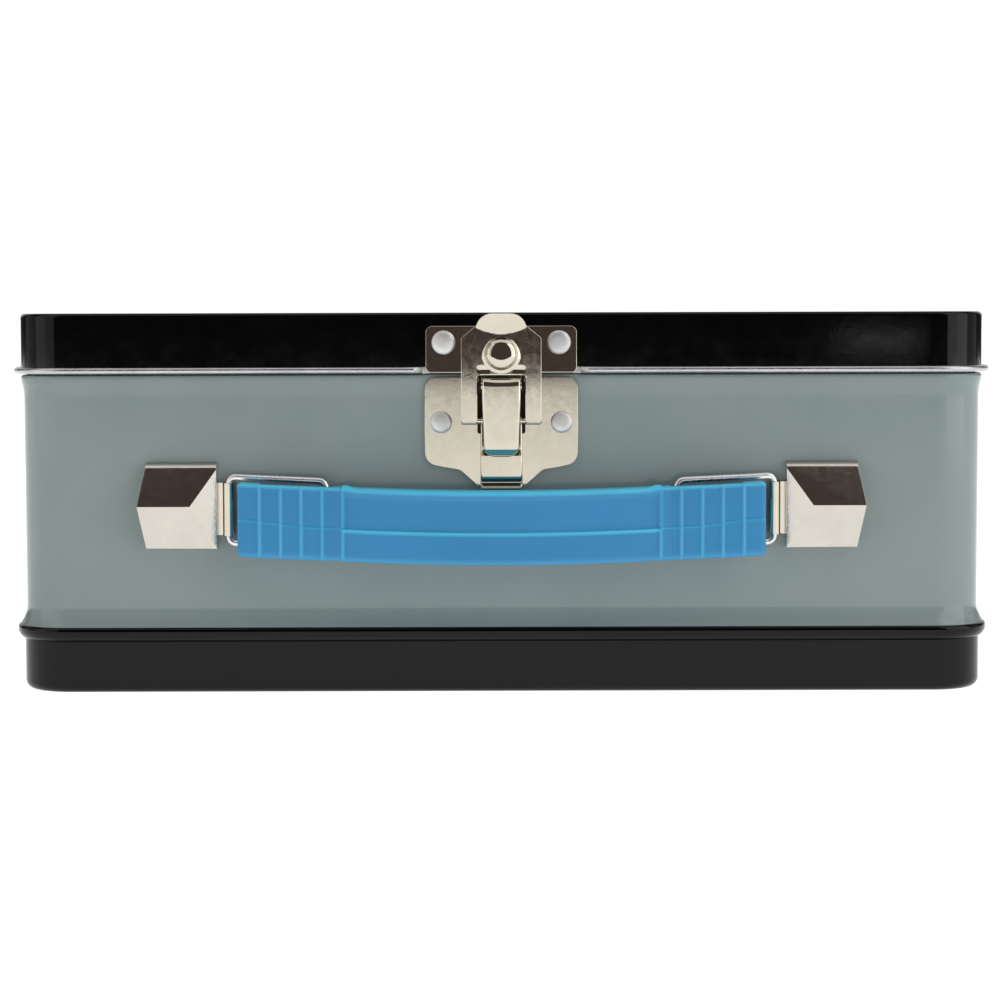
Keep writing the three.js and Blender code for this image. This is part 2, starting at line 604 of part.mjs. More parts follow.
function haspPin() {
  const headStart = HASP.halfX + PIN_CLEARANCE;
  const headEnd = headStart + PIN_HEAD.length;
  const { y, z, pinR } = HASP_PIVOT;
  return join([
    rodAlongX(pinR, -headEnd, headEnd, y, z),
    rodAlongX(PIN_HEAD.radius, -headEnd, -headStart, y, z),
    rodAlongX(PIN_HEAD.radius, headStart, headEnd, y, z),
  ]);
}

function latch() {
  const group = new THREE.Group();
  const earEnd = EAR_INNER_X + EAR_T;
  const pivotPin = rodAlongX(LEVER_PIVOT.pinR, -earEnd, earEnd, LEVER_PIVOT.y, LEVER_PIVOT.z);
  const lidFace = -HALF_Y - PLATE_T;
  const baseFace = BAND_FRONT_Y - PLATE_T;
  group.add(
    part("latch_lid_plate", latchLidPlate(), nickel),
    part("latch_base_plate", latchBasePlate(), nickel),
    part("latch_pivot_pin", pivotPin, nickel),
    part("latch_lever", latchLever(), nickel),
    part("latch_hasp_pin", haspPin(), nickel),
    part("latch_hasp", latchHasp(), nickel),
  );
  for (const side of [-1, 1]) {
    const name = sideName(side);
    const grip = PLATE_T + SHEET;
    const lidX = side * LID_RIVET.x;
    const baseX = side * BASE_RIVET.x;
    group.add(
      rivet(`latch_lid_rivet_${name}`, -1, LID_RIVET, lidX, lidFace, LID_RIVET.z, grip),
      rivet(`latch_base_rivet_${name}`, -1, BASE_RIVET, baseX, baseFace, BASE_RIVET.z, grip),
    );
  }
  return group;
}

// ---------------------------------------------------------------- handle
function strapRivetHeights() {
  const middle = (STRAP.low + STRAP.high) / 2;
  return [middle - STRAP_RIVET.spread, middle + STRAP_RIVET.spread];
}

function capTabSpans() {
  return [[CAP.low, CAP.low + CAP_TAB.thick], [CAP.high - CAP_TAB.thick, CAP.high]];
}

function capHull(side, inset, backY) {
  const { innerX, outerX, apexX, ridgeX, low, high, height, flange, hipFlange } = CAP;
  const wall = BAND_FRONT_Y;
  const middle = (low + high) / 2;
  const ends = [[innerX + inset, hipFlange], [outerX - inset, flange]];
  const points = ends.flatMap(([x, reach]) => [low + inset, high - inset].flatMap((z) => [
    new THREE.Vector3(side * x, backY, z),
    new THREE.Vector3(side * x, wall - reach + inset / 2, z),
  ]));
  const ridgeY = wall - height + inset * CAP_RIDGE_WALL;
  points.push(new THREE.Vector3(side * (ridgeX + inset), ridgeY, middle));
  points.push(new THREE.Vector3(side * (apexX - inset), ridgeY, middle));
  return new ConvexGeometry(points);
}

function handleCap(side) {
  const wall = BAND_FRONT_Y;
  const tabs = capTabSpans().map(([low, high]) => sideBlock(
    side,
    [CAP_TAB.x - CAP_TAB.halfW, wall - CAP.flange, low],
    [CAP_TAB.x + CAP_TAB.halfW, wall + CAP_TAB.depth, high],
  ));
  const strapSlot = sideBlock(
    side,
    [CAP.innerX - OVERSHOOT, wall - STRAP.thick - CAP_TAB.slack, STRAP.low - CAP_TAB.slack],
    [CAP.innerX + OVERSHOOT, wall + OVERSHOOT, STRAP.high + CAP_TAB.slack],
  );
  const shell = cut(capHull(side, 0, wall), [capHull(side, CAP.wall, wall + OVERSHOOT), strapSlot]);
  return join([shell, ...tabs]);
}

function handleStrap(side) {
  const wall = BAND_FRONT_Y;
  const tail = sideBlock(side, [KNUCKLE_X, wall - STRAP.thick, STRAP.low], [STRAP.tailX, wall, STRAP.high]);
  const roll = rodAlongZ(STRAP.rollR, side * KNUCKLE_X, KNUCKLE_Y, STRAP.low, STRAP.high);
  const ends = [STRAP.low - OVERSHOOT, STRAP.high + OVERSHOOT];
  const bore = rodAlongZ(STRAP.boreR, side * KNUCKLE_X, KNUCKLE_Y, ...ends);
  const holes = strapRivetHeights().map((z) => rivetHole(side * STRAP_RIVET.x, -HALF_Y, z));
  return cut(join([tail, roll]), [bore, ...holes]);
}

// A round wire along a flat run of points, with mitred bends.
function wire(points, planeNormal) {
  return loft(points.map((point, i) => {
    const before = point.clone().sub(points[Math.max(i - 1, 0)]).normalize();
    const after = points[Math.min(i + 1, points.length - 1)].clone().sub(point).normalize();
    const along = before.clone().add(after).normalize();
    const across = along.clone().cross(planeNormal).normalize();
    const bend = before.lengthSq() > 0 && after.lengthSq() > 0 ? before.angleTo(after) / 2 : 0;
    return arc(0, 0, RING.wireR, 0, 360 - 360 / WIRE_SIDES, WIRE_SIDES - 1).map(([a, b]) => {
      const offset = planeNormal.clone().multiplyScalar(a).addScaledVector(across, b / Math.cos(bend));
      return point.clone().add(offset);
    });
  }));
}

// The ring is drawn flat about its turning axis, reaching towards the middle of the handle.
function handleRing() {
  const { low, high, length, droop, bendR } = RING;
  const middle = (low + high) / 2;
  const bends = [
    { at: [0, high], from: 0, to: 90, sign: 1 },
    { at: [length, high - droop], from: 90, to: 180, sign: 1 },
    { at: [length, low - droop], from: 180, to: 270, sign: -1 },
    { at: [0, low], from: 270, to: 360, sign: -1 },
  ];
  const corners = bends.flatMap(({ at: [x, z], from, to, sign }) => {
    const centreX = x === 0 ? bendR : length - bendR;
    const centreZ = z - sign * bendR;
    return arc(centreX, centreZ, bendR, 180 - from, 180 - to, COARSE_STEPS);
  });
  const path = [[0, middle + BUTT_GAP / 2], ...corners, [0, middle - BUTT_GAP / 2]];
  return wire(path.map(([x, z]) => new THREE.Vector3(x, 0, z)), new THREE.Vector3(0, 1, 0));
}

function gripCentreline(x) {
  const bow = GRIP.bow * Math.max(0, 1 - (x / GRIP.bowHalfX) ** 2);
  const sag = GRIP.sag * (1 - (x / GRIP.halfX) ** 2);
  return { y: GRIP.backY - GRIP.thick / 2 - bow, z: GRIP.endZ - sag };
}

function gripStations() {
  const bowed = Array.from({ length: GRIP_SECTIONS + 1 }, (_, i) => {
    return GRIP.bowHalfX * ((2 * i) / GRIP_SECTIONS - 1);
  });
  const shoulder = POCKET.outerX - GRIP_LEAD_IN;
  return [-GRIP.halfX, -shoulder, ...bowed, shoulder, GRIP.halfX];
}

function handleGrip() {
  const section = roundedRectangle(GRIP.thick / 2, GRIP.halfH, GRIP.edgeR, COARSE_STEPS);
  const bar = loft(gripStations().map((x) => {
    const { y, z } = gripCentreline(x);
    return section.map(([a, b]) => new THREE.Vector3(x, y + a, z + b));
  }));
  const above = GRIP.endZ + 2 * GRIP.halfH;
  const behind = GRIP.backY + OVERSHOOT;
  const beyond = GRIP.halfX + OVERSHOOT;
  const tools = [-1, 1].flatMap((side) => [
    sideBlock(side, [POCKET.innerX, POCKET.frontY, POCKET.floorZ], [POCKET.outerX, POCKET.rearY, above]),
    sideBlock(side, [POCKET.innerX, POCKET.rearY, POCKET.floorZ], [beyond, behind, BRIDGE.low]),
    sideBlock(side, [POCKET.innerX, POCKET.rearY, BRIDGE.high], [beyond, behind, above]),
  ]);
  return cut(bar, tools);
}

function handle() {
  const group = new THREE.Group();
  const strapFace = BAND_FRONT_Y - STRAP.thick;
  for (const side of [-1, 1]) {
    const name = sideName(side);
    const ring = part(`handle_ring_${name}`, handleRing(), steelWire);
    ring.position.set(side * KNUCKLE_X, KNUCKLE_Y, 0);
    const restTurn = THREE.MathUtils.degToRad(RING.restDeg);
    ring.rotation.z = side < 0 ? -restTurn : Math.PI + restTurn;
    group.add(ring);
    group.add(part(`handle_cap_${name}`, handleCap(side), nickel));
    group.add(part(`handle_strap_${name}`, handleStrap(side), nickel));
    for (const [i, z] of strapRivetHeights().entries()) {
      const level = i === 0 ? "lower" : "upper";
      const x = side * STRAP_RIVET.x;
      const grip = STRAP.thick + SHEET;
      group.add(rivet(`handle_rivet_${name}_${level}`, -1, STRAP_RIVET, x, strapFace, z, grip));
    }
  }
  group.add(part("handle_grip", handleGrip(), bluePlastic));
  return group;
}

// ---------------------------------------------------------------- trays
function boxStack(levels) {
  return loft(levels.map(([x0, x1, y0, y1, radius, z]) => {
    const ring = roundedRectangle((x1 - x0) / 2, (y1 - y0) / 2, radius, COARSE_STEPS);
    return ring.map(([x, y]) => new THREE.Vector3(x + (x0 + x1) / 2, y + (y0 + y1) / 2, z));
  }));
}

// Splits the inside of a tray into equal compartments, columns by rows, between two depths.
function compartments(low, high, y0, y1, columns) {
  const { halfX, wall, floor, draft } = TRAY;
  const clear = 2 * (halfX - TRAY.rim - wall);
  const width = (clear - (columns - 1) * wall) / columns;
  return Array.from({ length: columns }, (_, column) => {
    const x0 = -clear / 2 + column * (width + wall);
    const x1 = x0 + width;
    return boxStack([
      [x0 + draft, x1 - draft, y0 + draft, y1 - draft, COMPARTMENT_CORNER - draft, low + floor],
      [x0, x1, y0, y1, COMPARTMENT_CORNER, high + OVERSHOOT],
    ]);
  });
}

function tray({ low, high }, rows) {
  const { halfX, halfY, corner, draft, rim, rimH, wall } = TRAY;
  const level = (inset, z) => {
    const x = halfX - inset;
    const y = halfY - inset;
    return [-x, x, -y, y, corner - inset, z];
  };
  const outside = boxStack([
    level(rim + draft, low), level(rim, high - rimH), level(0, high - rimH), level(0, high),
  ]);
  const clear = 2 * (halfY - rim - wall);
  const tools = rows.flatMap(({ from, to, columns }) => {
    const y0 = clear * (from - 1 / 2) + wall / 2;
    const y1 = clear * (to - 1 / 2) - wall / 2;
    return compartments(low, high, y0, y1, columns);
  });
  return cut(outside, tools);
}

function lowerTray() {
  const long = { from: 0, to: LONG_SHARE, columns: 1 };
  return tray(LOWER_TRAY, [long, { from: LONG_SHARE, to: 1, columns: TRAY_COLUMNS }]);
}

function upperTray() {
  const rows = [[0, 1 / 2], [1 / 2, 1]].map(([from, to]) => ({ from, to, columns: TRAY_COLUMNS }));
  const body = tray(UPPER_TRAY, rows);
  const wallStart = TRAY.halfX - TRAY.rim - TRAY.wall - OVERSHOOT;
  const wallEnd = TRAY.halfX + OVERSHOOT;
  const notches = [[-wallEnd, -wallStart], [wallStart, wallEnd]];
  return cut(body, notches.map(([x0, x1]) => rodAlongX(NOTCH_R, x0, x1, 0, UPPER_TRAY.high)));
}

function trays() {
  const group = new THREE.Group();
  group.add(part("lower_tray", lowerTray(), trayPlastic), part("upper_tray", upperTray(), trayPlastic));
  return group;
}

const carryCase = new THREE.Group();
carryCase.add(
  part("base_pan", basePan(), blackEnamel),
  part("body_band", bodyBand(), greyEnamel),
  part("lid_pan", lidPan(), blackEnamel),
  hinge(-1),
  hinge(1),
  latch(),
  handle(),
  trays(),
);

export default carryCase;
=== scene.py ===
"""Looks of the tinplate carry case: enamel shells, nickel fittings, plastic grip, trays, floor and light."""
import json
import math

import bmesh
import bpy
from mathutils import Matrix, Vector, noise


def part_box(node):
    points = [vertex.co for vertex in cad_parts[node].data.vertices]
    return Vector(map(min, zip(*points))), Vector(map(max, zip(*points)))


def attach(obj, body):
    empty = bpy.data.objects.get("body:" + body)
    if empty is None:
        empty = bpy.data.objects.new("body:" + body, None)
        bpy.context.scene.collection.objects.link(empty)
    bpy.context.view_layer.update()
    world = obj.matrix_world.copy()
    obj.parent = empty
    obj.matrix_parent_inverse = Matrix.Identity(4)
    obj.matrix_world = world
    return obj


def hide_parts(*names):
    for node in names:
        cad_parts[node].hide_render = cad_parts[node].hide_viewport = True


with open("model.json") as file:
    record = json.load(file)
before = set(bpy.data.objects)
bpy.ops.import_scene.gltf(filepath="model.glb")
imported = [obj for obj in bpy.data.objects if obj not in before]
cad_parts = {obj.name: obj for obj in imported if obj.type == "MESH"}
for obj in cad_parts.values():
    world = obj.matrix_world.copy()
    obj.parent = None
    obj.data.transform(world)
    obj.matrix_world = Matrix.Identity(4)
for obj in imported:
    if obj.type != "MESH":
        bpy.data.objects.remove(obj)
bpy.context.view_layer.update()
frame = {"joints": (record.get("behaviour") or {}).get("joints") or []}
MM = 0.001

# ---------------------------------------------------------------- places from the frame, in millimetres
JOINTS = {joint["name"]: joint for joint in frame["joints"]}


def node_box(node):
    low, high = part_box(node)
    return low / MM, high / MM


def pivot(joint):
    return Vector(JOINTS[joint]["pos_m"]) / MM


LID_LOW, LID_HIGH = node_box("lid_pan")
BAND_LOW, BAND_HIGH = node_box("body_band")
HINGE = pivot("lid_hinge")
LEVER_PIVOT = pivot("latch_lever")
HASP_PIVOT = pivot("latch_hasp")
RING_PIVOT = pivot("ring_right_swing")

ROLL_OUTSET = 1.4
HALF_X = LID_HIGH.x - ROLL_OUTSET
HALF_Y = LID_HIGH.y - ROLL_OUTSET
CORNER_R = 10.5
SHEET = 0.5
WAIST = -0.5
FRONT_Y = -(HALF_Y + WAIST)
BACK_Y = HALF_Y + WAIST
LID_FRONT_Y = -HALF_Y
LID_BOTTOM = LID_LOW.z
TOTAL_H = LID_HIGH.z
BEAD_TOP = node_box("base_pan")[1].z
NECK_TOP = BAND_HIGH.z
BAND_FOOT = BAND_LOW.z
BAND_TOP = 64.5
CLEAR_OF = 1.0                   # how far a cutting tool reaches past what it cuts


# ---------------------------------------------------------------- mesh helpers, all in millimetres
def arc(centre_a, centre_b, radius, start, end, steps):
    """Points of an arc between two angles in degrees."""
    angles = [math.radians(start + (end - start) * i / steps) for i in range(steps + 1)]
    return [(centre_a + radius * math.cos(a), centre_b + radius * math.sin(a)) for a in angles]


def turns(start, end, step):
    """Angles in radians, from whole degrees."""
    return [math.radians(degrees) for degrees in range(start, end, step)]


def smoothstep(low, high, value):
    t = min(max((value - low) / (high - low), 0.0), 1.0)
    return t * t * (3 - 2 * t)


def bump(distance, width):
    """A rounded hill, 1 at the middle and 0 from width outwards."""
    t = min(abs(distance) / width, 1.0)
    return (1 - t * t) ** 2


def shade(mesh, sharp_deg):
    mesh.shade_smooth()
    mesh.set_sharp_from_angle(angle=math.radians(sharp_deg))


def placed(name, data):
    """A new object in the scene."""
    piece = bpy.data.objects.new(name, data)
    bpy.context.scene.collection.objects.link(piece)
    return piece


def mesh_piece(name, vertices, faces, sharp_deg=35.0):
    mesh = bpy.data.meshes.new(name)
    mesh.from_pydata([Vector(v) * MM for v in vertices], [], faces)
    mesh.validate()
    shade(mesh, sharp_deg)
    return placed(name, mesh)


def turned_out(piece):
    """Makes every face of a piece point outwards."""
    builder = bmesh.new()
    builder.from_mesh(piece.data)
    bmesh.ops.recalc_face_normals(builder, faces=builder.faces)
    builder.to_mesh(piece.data)
    builder.free()
    return piece


def joined(name, pieces, sharp_deg=35.0):
    """Several pieces' meshes as one object. The sources are removed."""
    builder = bmesh.new()
    for piece in pieces:
        builder.from_mesh(piece.data)
        bpy.data.objects.remove(piece)
    mesh = bpy.data.meshes.new(name)
    builder.to_mesh(mesh)
    builder.free()
    shade(mesh, sharp_deg)
    return placed(name, mesh)


def apply_modifiers(piece, sharp_deg):
    evaluated = piece.evaluated_get(bpy.context.evaluated_depsgraph_get())
    mesh = bpy.data.meshes.new_from_object(evaluated)
    piece.modifiers.clear()
    piece.data = mesh
    shade(mesh, sharp_deg)
    return piece


def cut_away(piece, tools, sharp_deg=35.0):
    """Subtracts each tool's mesh from the piece, then removes the tools."""
    for tool in tools:
        modifier = piece.modifiers.new("cut", "BOOLEAN")
        modifier.operation = "DIFFERENCE"
        modifier.solver = "EXACT"
        modifier.object = tool
    apply_modifiers(piece, sharp_deg)
    for tool in tools:
        bpy.data.objects.remove(tool)
    return piece


def soften(piece, width, segments, angle_deg, sharp_deg):
    """Rounds every edge sharper than the angle."""
    modifier = piece.modifiers.new("soften", "BEVEL")
    modifier.width = width * MM
    modifier.segments = segments
    modifier.limit_method = "ANGLE"
    modifier.angle_limit = math.radians(angle_deg)
    return apply_modifiers(piece, sharp_deg)


def skin_faces(rings, count, last_meets_first, rings_closed):
    """Four-sided faces between neighbouring rings of count points each."""
    faces = []
    for i in range(rings if last_meets_first else rings - 1):
        here, there = i * count, (i + 1) % rings * count
        for k in range(count if rings_closed else count - 1):
            up = (k + 1) % count
            faces.append((here + k, there + k, there + up, here + up))
    return faces


def loft(name, rings, sharp_deg=35.0):
    """A closed skin through equal rings of points, capped at both ends."""
    count = len(rings[0])
    vertices = [point for ring in rings for point in ring]
    faces = [(a, d, c, b) for a, b, c, d in skin_faces(len(rings), count, False, True)]
    faces.append(tuple(reversed(range(count))))
    faces.append(tuple(range(len(vertices) - count, len(vertices))))
    return mesh_piece(name, vertices, faces, sharp_deg)


def lathe(name, profile, matrix, segments=40, sharp_deg=35.0):
    """Turns (radius, height) points about the local Z axis; the ends lie on the axis."""
    vertices = []
    for i in range(segments):
        angle = 2 * math.pi * i / segments
        direction = Vector((math.cos(angle), math.sin(angle), 0))
        vertices += [matrix @ (direction * r + Vector((0, 0, h))) for r, h in profile[1:-1]]
    count, start = len(profile) - 2, len(vertices)
    vertices += [matrix @ Vector((0, 0, height)) for height in (profile[0][1], profile[-1][1])]
    faces = skin_faces(segments, count, True, False)
    for i in range(segments):
        here, there = i * count, (i + 1) % segments * count
        faces.append((start, there, here))
        faces.append((start + 1, here + count - 1, there + count - 1))
    return mesh_piece(name, vertices, faces, sharp_deg)


def facing(x, y, z, toward):
    """A local frame at a point, with Z along the given direction."""
    turn = Vector(toward).to_track_quat("Z", "Y").to_matrix().to_4x4()
    return Matrix.Translation(Vector((x, y, z))) @ turn


def rod(name, radius, x0, x1, y, z, edge=0.15, segments=32):
    """A round bar along X with eased ends."""
    near = [(0, x0), (radius - edge, x0), (radius, x0 + edge)]
    far = [(radius, x1 - edge), (radius - edge, x1), (0, x1)]
    return lathe(name, near + far, facing(0, y, z, (1, 0, 0)), segments)


def rounded_outline(corners):
    """A closed outline from (a, b, radius) corners, each rounded by an arc."""
    points, steps = [], 6
    for i, (a, b, radius) in enumerate(corners):
        here = Vector((a, b))
        before = (Vector(corners[i - 1][:2]) - here).normalized()
        after = (Vector(corners[(i + 1) % len(corners)][:2]) - here).normalized()
        half = before.angle(after) / 2
        reach = radius / math.tan(half)
        start = here + before * reach
        end = here + after * reach
        centre = here + (before + after).normalized() * (radius / math.sin(half))
        first = start - centre
        turn = -first.angle_signed(end - centre)
        points += [centre + Matrix.Rotation(turn * k / steps, 2) @ first for k in range(steps + 1)]
    return points


def mirrored(right):
    """A symmetric outline from its right half, listed from the top down."""
    return right + [(-a, b, radius) for a, b, radius in reversed(right)]


def circle(a, b, radius, steps=32):
    return [Vector(point) for point in arc(a, b, radius, 0, 360 - 360 / steps, steps - 1)]


def sliced(builder, places, normal):
    """Adds rows of vertices across a mesh where planes with the given normal cross it."""
    for place in places:
        geometry = builder.verts[:] + builder.edges[:] + builder.faces[:]
        point = Vector(normal) * place * MM
        bmesh.ops.bisect_plane(builder, geom=geometry, plane_co=point, plane_no=normal)


def plate(name, loops, back_y, thick, edge=0.12, rows=(), columns=()):
    """A pressed sheet in X and Z with rounded edges. Loops after the first are holes."""
    curve = bpy.data.curves.new(name, "CURVE")
    curve.dimensions = "2D"
    curve.fill_mode = "BOTH"
    curve.extrude = (thick / 2 - edge) * MM
    curve.bevel_depth = edge * MM
    curve.bevel_resolution = 2
    curve.offset = -edge * MM
    for loop in loops:
        spline = curve.splines.new("POLY")
        spline.points.add(len(loop) - 1)
        for point, place in zip(spline.points, loop):
            point.co = (place[0] * MM, place[1] * MM, 0, 1)
        spline.use_cyclic_u = True
    flat = placed(name + "_flat", curve)
    bpy.context.view_layer.update()
    mesh = bpy.data.meshes.new_from_object(flat.evaluated_get(bpy.context.evaluated_depsgraph_get()))
    bpy.data.objects.remove(flat)
    stand_up = Matrix(((1, 0, 0, 0), (0, 0, -1, (back_y - thick / 2) * MM), (0, 1, 0, 0), (0, 0, 0, 1)))
    mesh.transform(stand_up)
    builder = bmesh.new()
    builder.from_mesh(mesh)
    bmesh.ops.remove_doubles(builder, verts=builder.verts, dist=1e-7)
    sliced(builder, rows, (0, 0, 1))
    sliced(builder, columns, (1, 0, 0))
    bmesh.ops.recalc_face_normals(builder, faces=builder.faces)
    builder.to_mesh(mesh)
    builder.free()
    shade(mesh, 35)
    return placed(name, mesh)


def block(name, low, high):
    """A plain cutting block."""
    xs, ys, zs = zip(low, high)
    corners = [(x, y, z) for x in xs for y in ys for z in zs]
    faces = [(0, 1, 3, 2), (4, 6, 7, 5), (0, 4, 5, 1), (2, 3, 7, 6), (0, 2, 6, 4), (1, 5, 7, 3)]
    return mesh_piece(name, corners, faces)


def heading(points, i):
    """The direction of a run of points at one of them."""
    return (points[min(i + 1, len(points) - 1)] - points[max(i - 1, 0)]).normalized()


def sheet_outline(path, thick):
    """The outline of a bent sheet in section, from its middle line."""
    points = [Vector(p) for p in path]
    left, right = [], []
    for i, point in enumerate(points):
        along = heading(points, i)
        across = Vector((-along.y, along.x)) * (thick / 2)
        left.append(point + across)
        right.append(point - across)
    return right + left[::-1]


def strip(name, path, thick, x0, x1):
    """A bent sheet: the path is its middle line in Y and Z, and it runs from x0 to x1."""
    outline = sheet_outline(path, thick)
    rings = [[(x, p.x, p.y) for p in outline] for x in (x0, x1)]
    return turned_out(loft(name, rings, sharp_deg=40.0))


# ---------------------------------------------------------------- materials
def linear(srgb):
    """Linear colour from an sRGB triple in 0-255."""
    out = []
    for channel in srgb:
        c = channel / 255
        out.append(c / 12.92 if c <= 0.04045 else ((c + 0.055) / 1.055) ** 2.4)
    return out


class Material:
    """A principled material with helpers for procedural detail in object space, in metres."""

    def __init__(self, name, metallic=0.0, ior=1.5):
        self.material = bpy.data.materials.new(name)
        self.material.use_nodes = True
        self.nodes = self.material.node_tree.nodes
        self.links = self.material.node_tree.links
        self.shader = self.nodes["Principled BSDF"]
        self.set({"Metallic": metallic, "IOR": ior})
        self.place = self.nodes.new("ShaderNodeTexCoord").outputs["Object"]
        self.normal = None

    def feed(self, socket, value):
        """Links a socket to a node's output, or sets it."""
        if isinstance(value, bpy.types.NodeSocket):
            self.links.new(value, socket)
        else:
            socket.default_value = (*value, 1) if socket.type == "RGBA" else value

    def set(self, values):
        """Links or sets the shader's own inputs by name."""
        for name, value in values.items():
            self.feed(self.shader.inputs[name], value)

    def node(self, kind, output, values):
        """An output of a new node, its inputs linked or set by name."""
        node = self.nodes.new(kind)
        for name, value in values.items():
            self.feed(node.inputs[name], value)
        return node.outputs[output]

    def noise(self, scale, detail=3.0, roughness=0.5, stretch=(1, 1, 1)):
        """Noise with about scale features per metre."""
        place = self.node("ShaderNodeMapping", "Vector", {"Vector": self.place, "Scale": stretch})
        values = {"Vector": place, "Scale": scale, "Detail": detail, "Roughness": roughness}
        return self.node("ShaderNodeTexNoise", "Fac", values)

    def range(self, value, low, high):
        """A noise's usual span, 0.3 to 0.7, stretched over low to high."""
        values = {"Value": value, "From Min": 0.3, "From Max": 0.7, "To Min": low, "To Max": high}
        return self.node("ShaderNodeMapRange", "Result", values)

    def mix(self, factor, first, second):
        node = self.nodes.new("ShaderNodeMix")
        node.data_type = "RGBA"
        for name, value in (("Factor", factor), ("A", first), ("B", second)):
            self.feed(node.inputs[name], value)
        return node.outputs["Result"]

    def relief(self, height, depth, strength):
        """Adds bump from a 0-1 height, depth in millimetres."""
        values = {"Height": height, "Distance": depth * MM, "Strength": strength}
        if self.normal is not None:
            values["Normal"] = self.normal
        self.normal = self.node("ShaderNodeBump", "Normal", values)
        self.set({"Normal": self.normal})

    def attribute(self, name):
        node = self.nodes.new("ShaderNodeAttribute")
        node.attribute_name = name
        return node.outputs["Fac"]


def enamel(name, base, mottled, gloss_low, gloss_high, wave_depth, mirror):
    """Stoved enamel: faint colour drift, orange peel and the soft waves of thin sheet under it."""
    m = Material(name)
    m.set({
        "Specular IOR Level": mirror,
        "Base Color": m.mix(m.range(m.noise(55, 4), 0, 1), base, mottled),
        "Roughness": m.range(m.noise(260, 5, 0.6), gloss_low, gloss_high),
    })
    m.relief(m.noise(16, 1, 0.4), wave_depth, 0.6)
    m.relief(m.noise(900, 2, 0.5), 0.006, 0.35)
    return m.material


def plating(name, bright, dull, rough_low, rough_high, pit_depth, pit_scale=2200):
    """Bright metal plating: cloudy tone, drawn grain and fine pitting."""
    m = Material(name, metallic=1.0)
    m.set({
        "Base Color": m.mix(m.range(m.noise(160, 4, 0.6), 0, 1), bright, dull),
        "Roughness": m.range(m.noise(700, 5, 0.65), rough_low, rough_high),
    })
    m.relief(m.noise(240, 2, 0.5, (1, 1, 0.25)), 0.02, 0.4)
    m.relief(m.noise(pit_scale, 3, 0.6), pit_depth, 0.5)
    return m.material


def moulded(name, base, light, rough_low, rough_high, highlight_attribute=None, subsurface=0.0):
    """Moulded plastic: flow marks, fine texture, and a painted highlight mixed in where an attribute says
    so.
    """
    m = Material(name, ior=1.46)
    body = m.mix(m.range(m.noise(90, 4, 0.55, (0.35, 1, 1)), 0, 1), base, [c * 1.1 for c in base])
    if highlight_attribute:
        body = m.mix(m.attribute(highlight_attribute), body, light)
    m.set({"Base Color": body, "Roughness": m.range(m.noise(420, 4, 0.6), rough_low, rough_high)})
    m.relief(m.noise(1500, 3, 0.6), 0.012, 0.35)
    m.relief(m.noise(60, 2, 0.5, (0.4, 1, 1)), 0.05, 0.25)
    if subsurface:
        m.set({
            "Subsurface Weight": subsurface,
            "Subsurface Radius": (0.2, 0.7, 1.0),
            "Subsurface Scale": 1.2 * MM,
        })
    return m.material


BLACK = enamel("black_enamel", [0.0007, 0.0007, 0.0008], [0.0012, 0.0012, 0.0013], 0.04, 0.09, 0.06, 0.23)
SAGE, SAGE_DRIFT = linear((128, 144, 143)), linear((134, 149, 148))
GREY = enamel("sage_grey_enamel", SAGE, SAGE_DRIFT, 0.10, 0.18, 0.14, 0.5)
NICKEL = plating("nickel_plate", [0.66, 0.615, 0.515], [0.60, 0.56, 0.465], 0.03, 0.08, 0.002)
# The base plate's plating: rougher than the bright nickel, and darker as painted shade.
SHADED_SATIN_NICKEL = plating("shaded_satin_nickel_plate", [0.60, 0.56, 0.465], [0.545, 0.51, 0.42], 0.05, 0.11, 0.002)
CAST_NICKEL = plating("grained_nickel_plate", [0.63, 0.60, 0.535], [0.57, 0.545, 0.485], 0.10, 0.18, 0.035)
# Near-black plating, used only as painted shade in the latch's window.
PAINTED_SHADE_NICKEL = plating("painted_shade_recess", [0.040, 0.028, 0.022], [0.020, 0.015, 0.012], 0.35, 0.6, 0.01)
TIN = plating("bare_tin_edge", [0.60, 0.61, 0.62], [0.48, 0.49, 0.50], 0.22, 0.4, 0.02, 1400)
ALUMINIUM = plating("aluminium_rivet", [0.82, 0.82, 0.81], [0.60, 0.60, 0.595], 0.42, 0.6, 0.06, 1100)
WIRE = plating("plated_wire", [0.86, 0.87, 0.88], [0.74, 0.75, 0.76], 0.24, 0.34, 0.004)
# The grip's own blue, and a light cyan painted on as a highlight along its ribs, crease and edges.
GRIP_BLUE, GRIP_HIGHLIGHT = linear((46, 134, 186)), linear((78, 194, 230))
BLUE = moulded("blue_plastic", GRIP_BLUE, GRIP_HIGHLIGHT, 0.36, 0.48, "painted_highlight", 0.12)
TRAY_PLASTIC = moulded("tray_plastic", linear((214, 217, 213)), linear((230, 232, 230)), 0.4, 0.55)


def dress(piece, material, body, slot, *nodes):
    """Gives a finished piece its material and its body, and hides the CAD nodes that it stands for. The slot
    is not used.
    """
    flat_faces = piece.modifiers.new("flat_faces", "WEIGHTED_NORMAL")
    flat_faces.keep_sharp = True
    piece.data.materials.clear()
    piece.data.materials.append(material)
    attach(piece, body)
    if nodes:
        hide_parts(*nodes)
    return piece


# ---------------------------------------------------------------- shells
LATCH_FLAT = 15.8
HINGE_FLAT = 12.3
HINGE_X = (node_box("hinge_right_pin")[0].x + node_box("hinge_right_pin")[1].x) / 2
FLAT_EASE = 1.6
WALL_STEP = 1.6
SIDE_STEP = 5.0
CORNER_STEPS = 14
WALL_LOW, WALL_HIGH = 17.5, 59.9  # the band's wall is straight between these


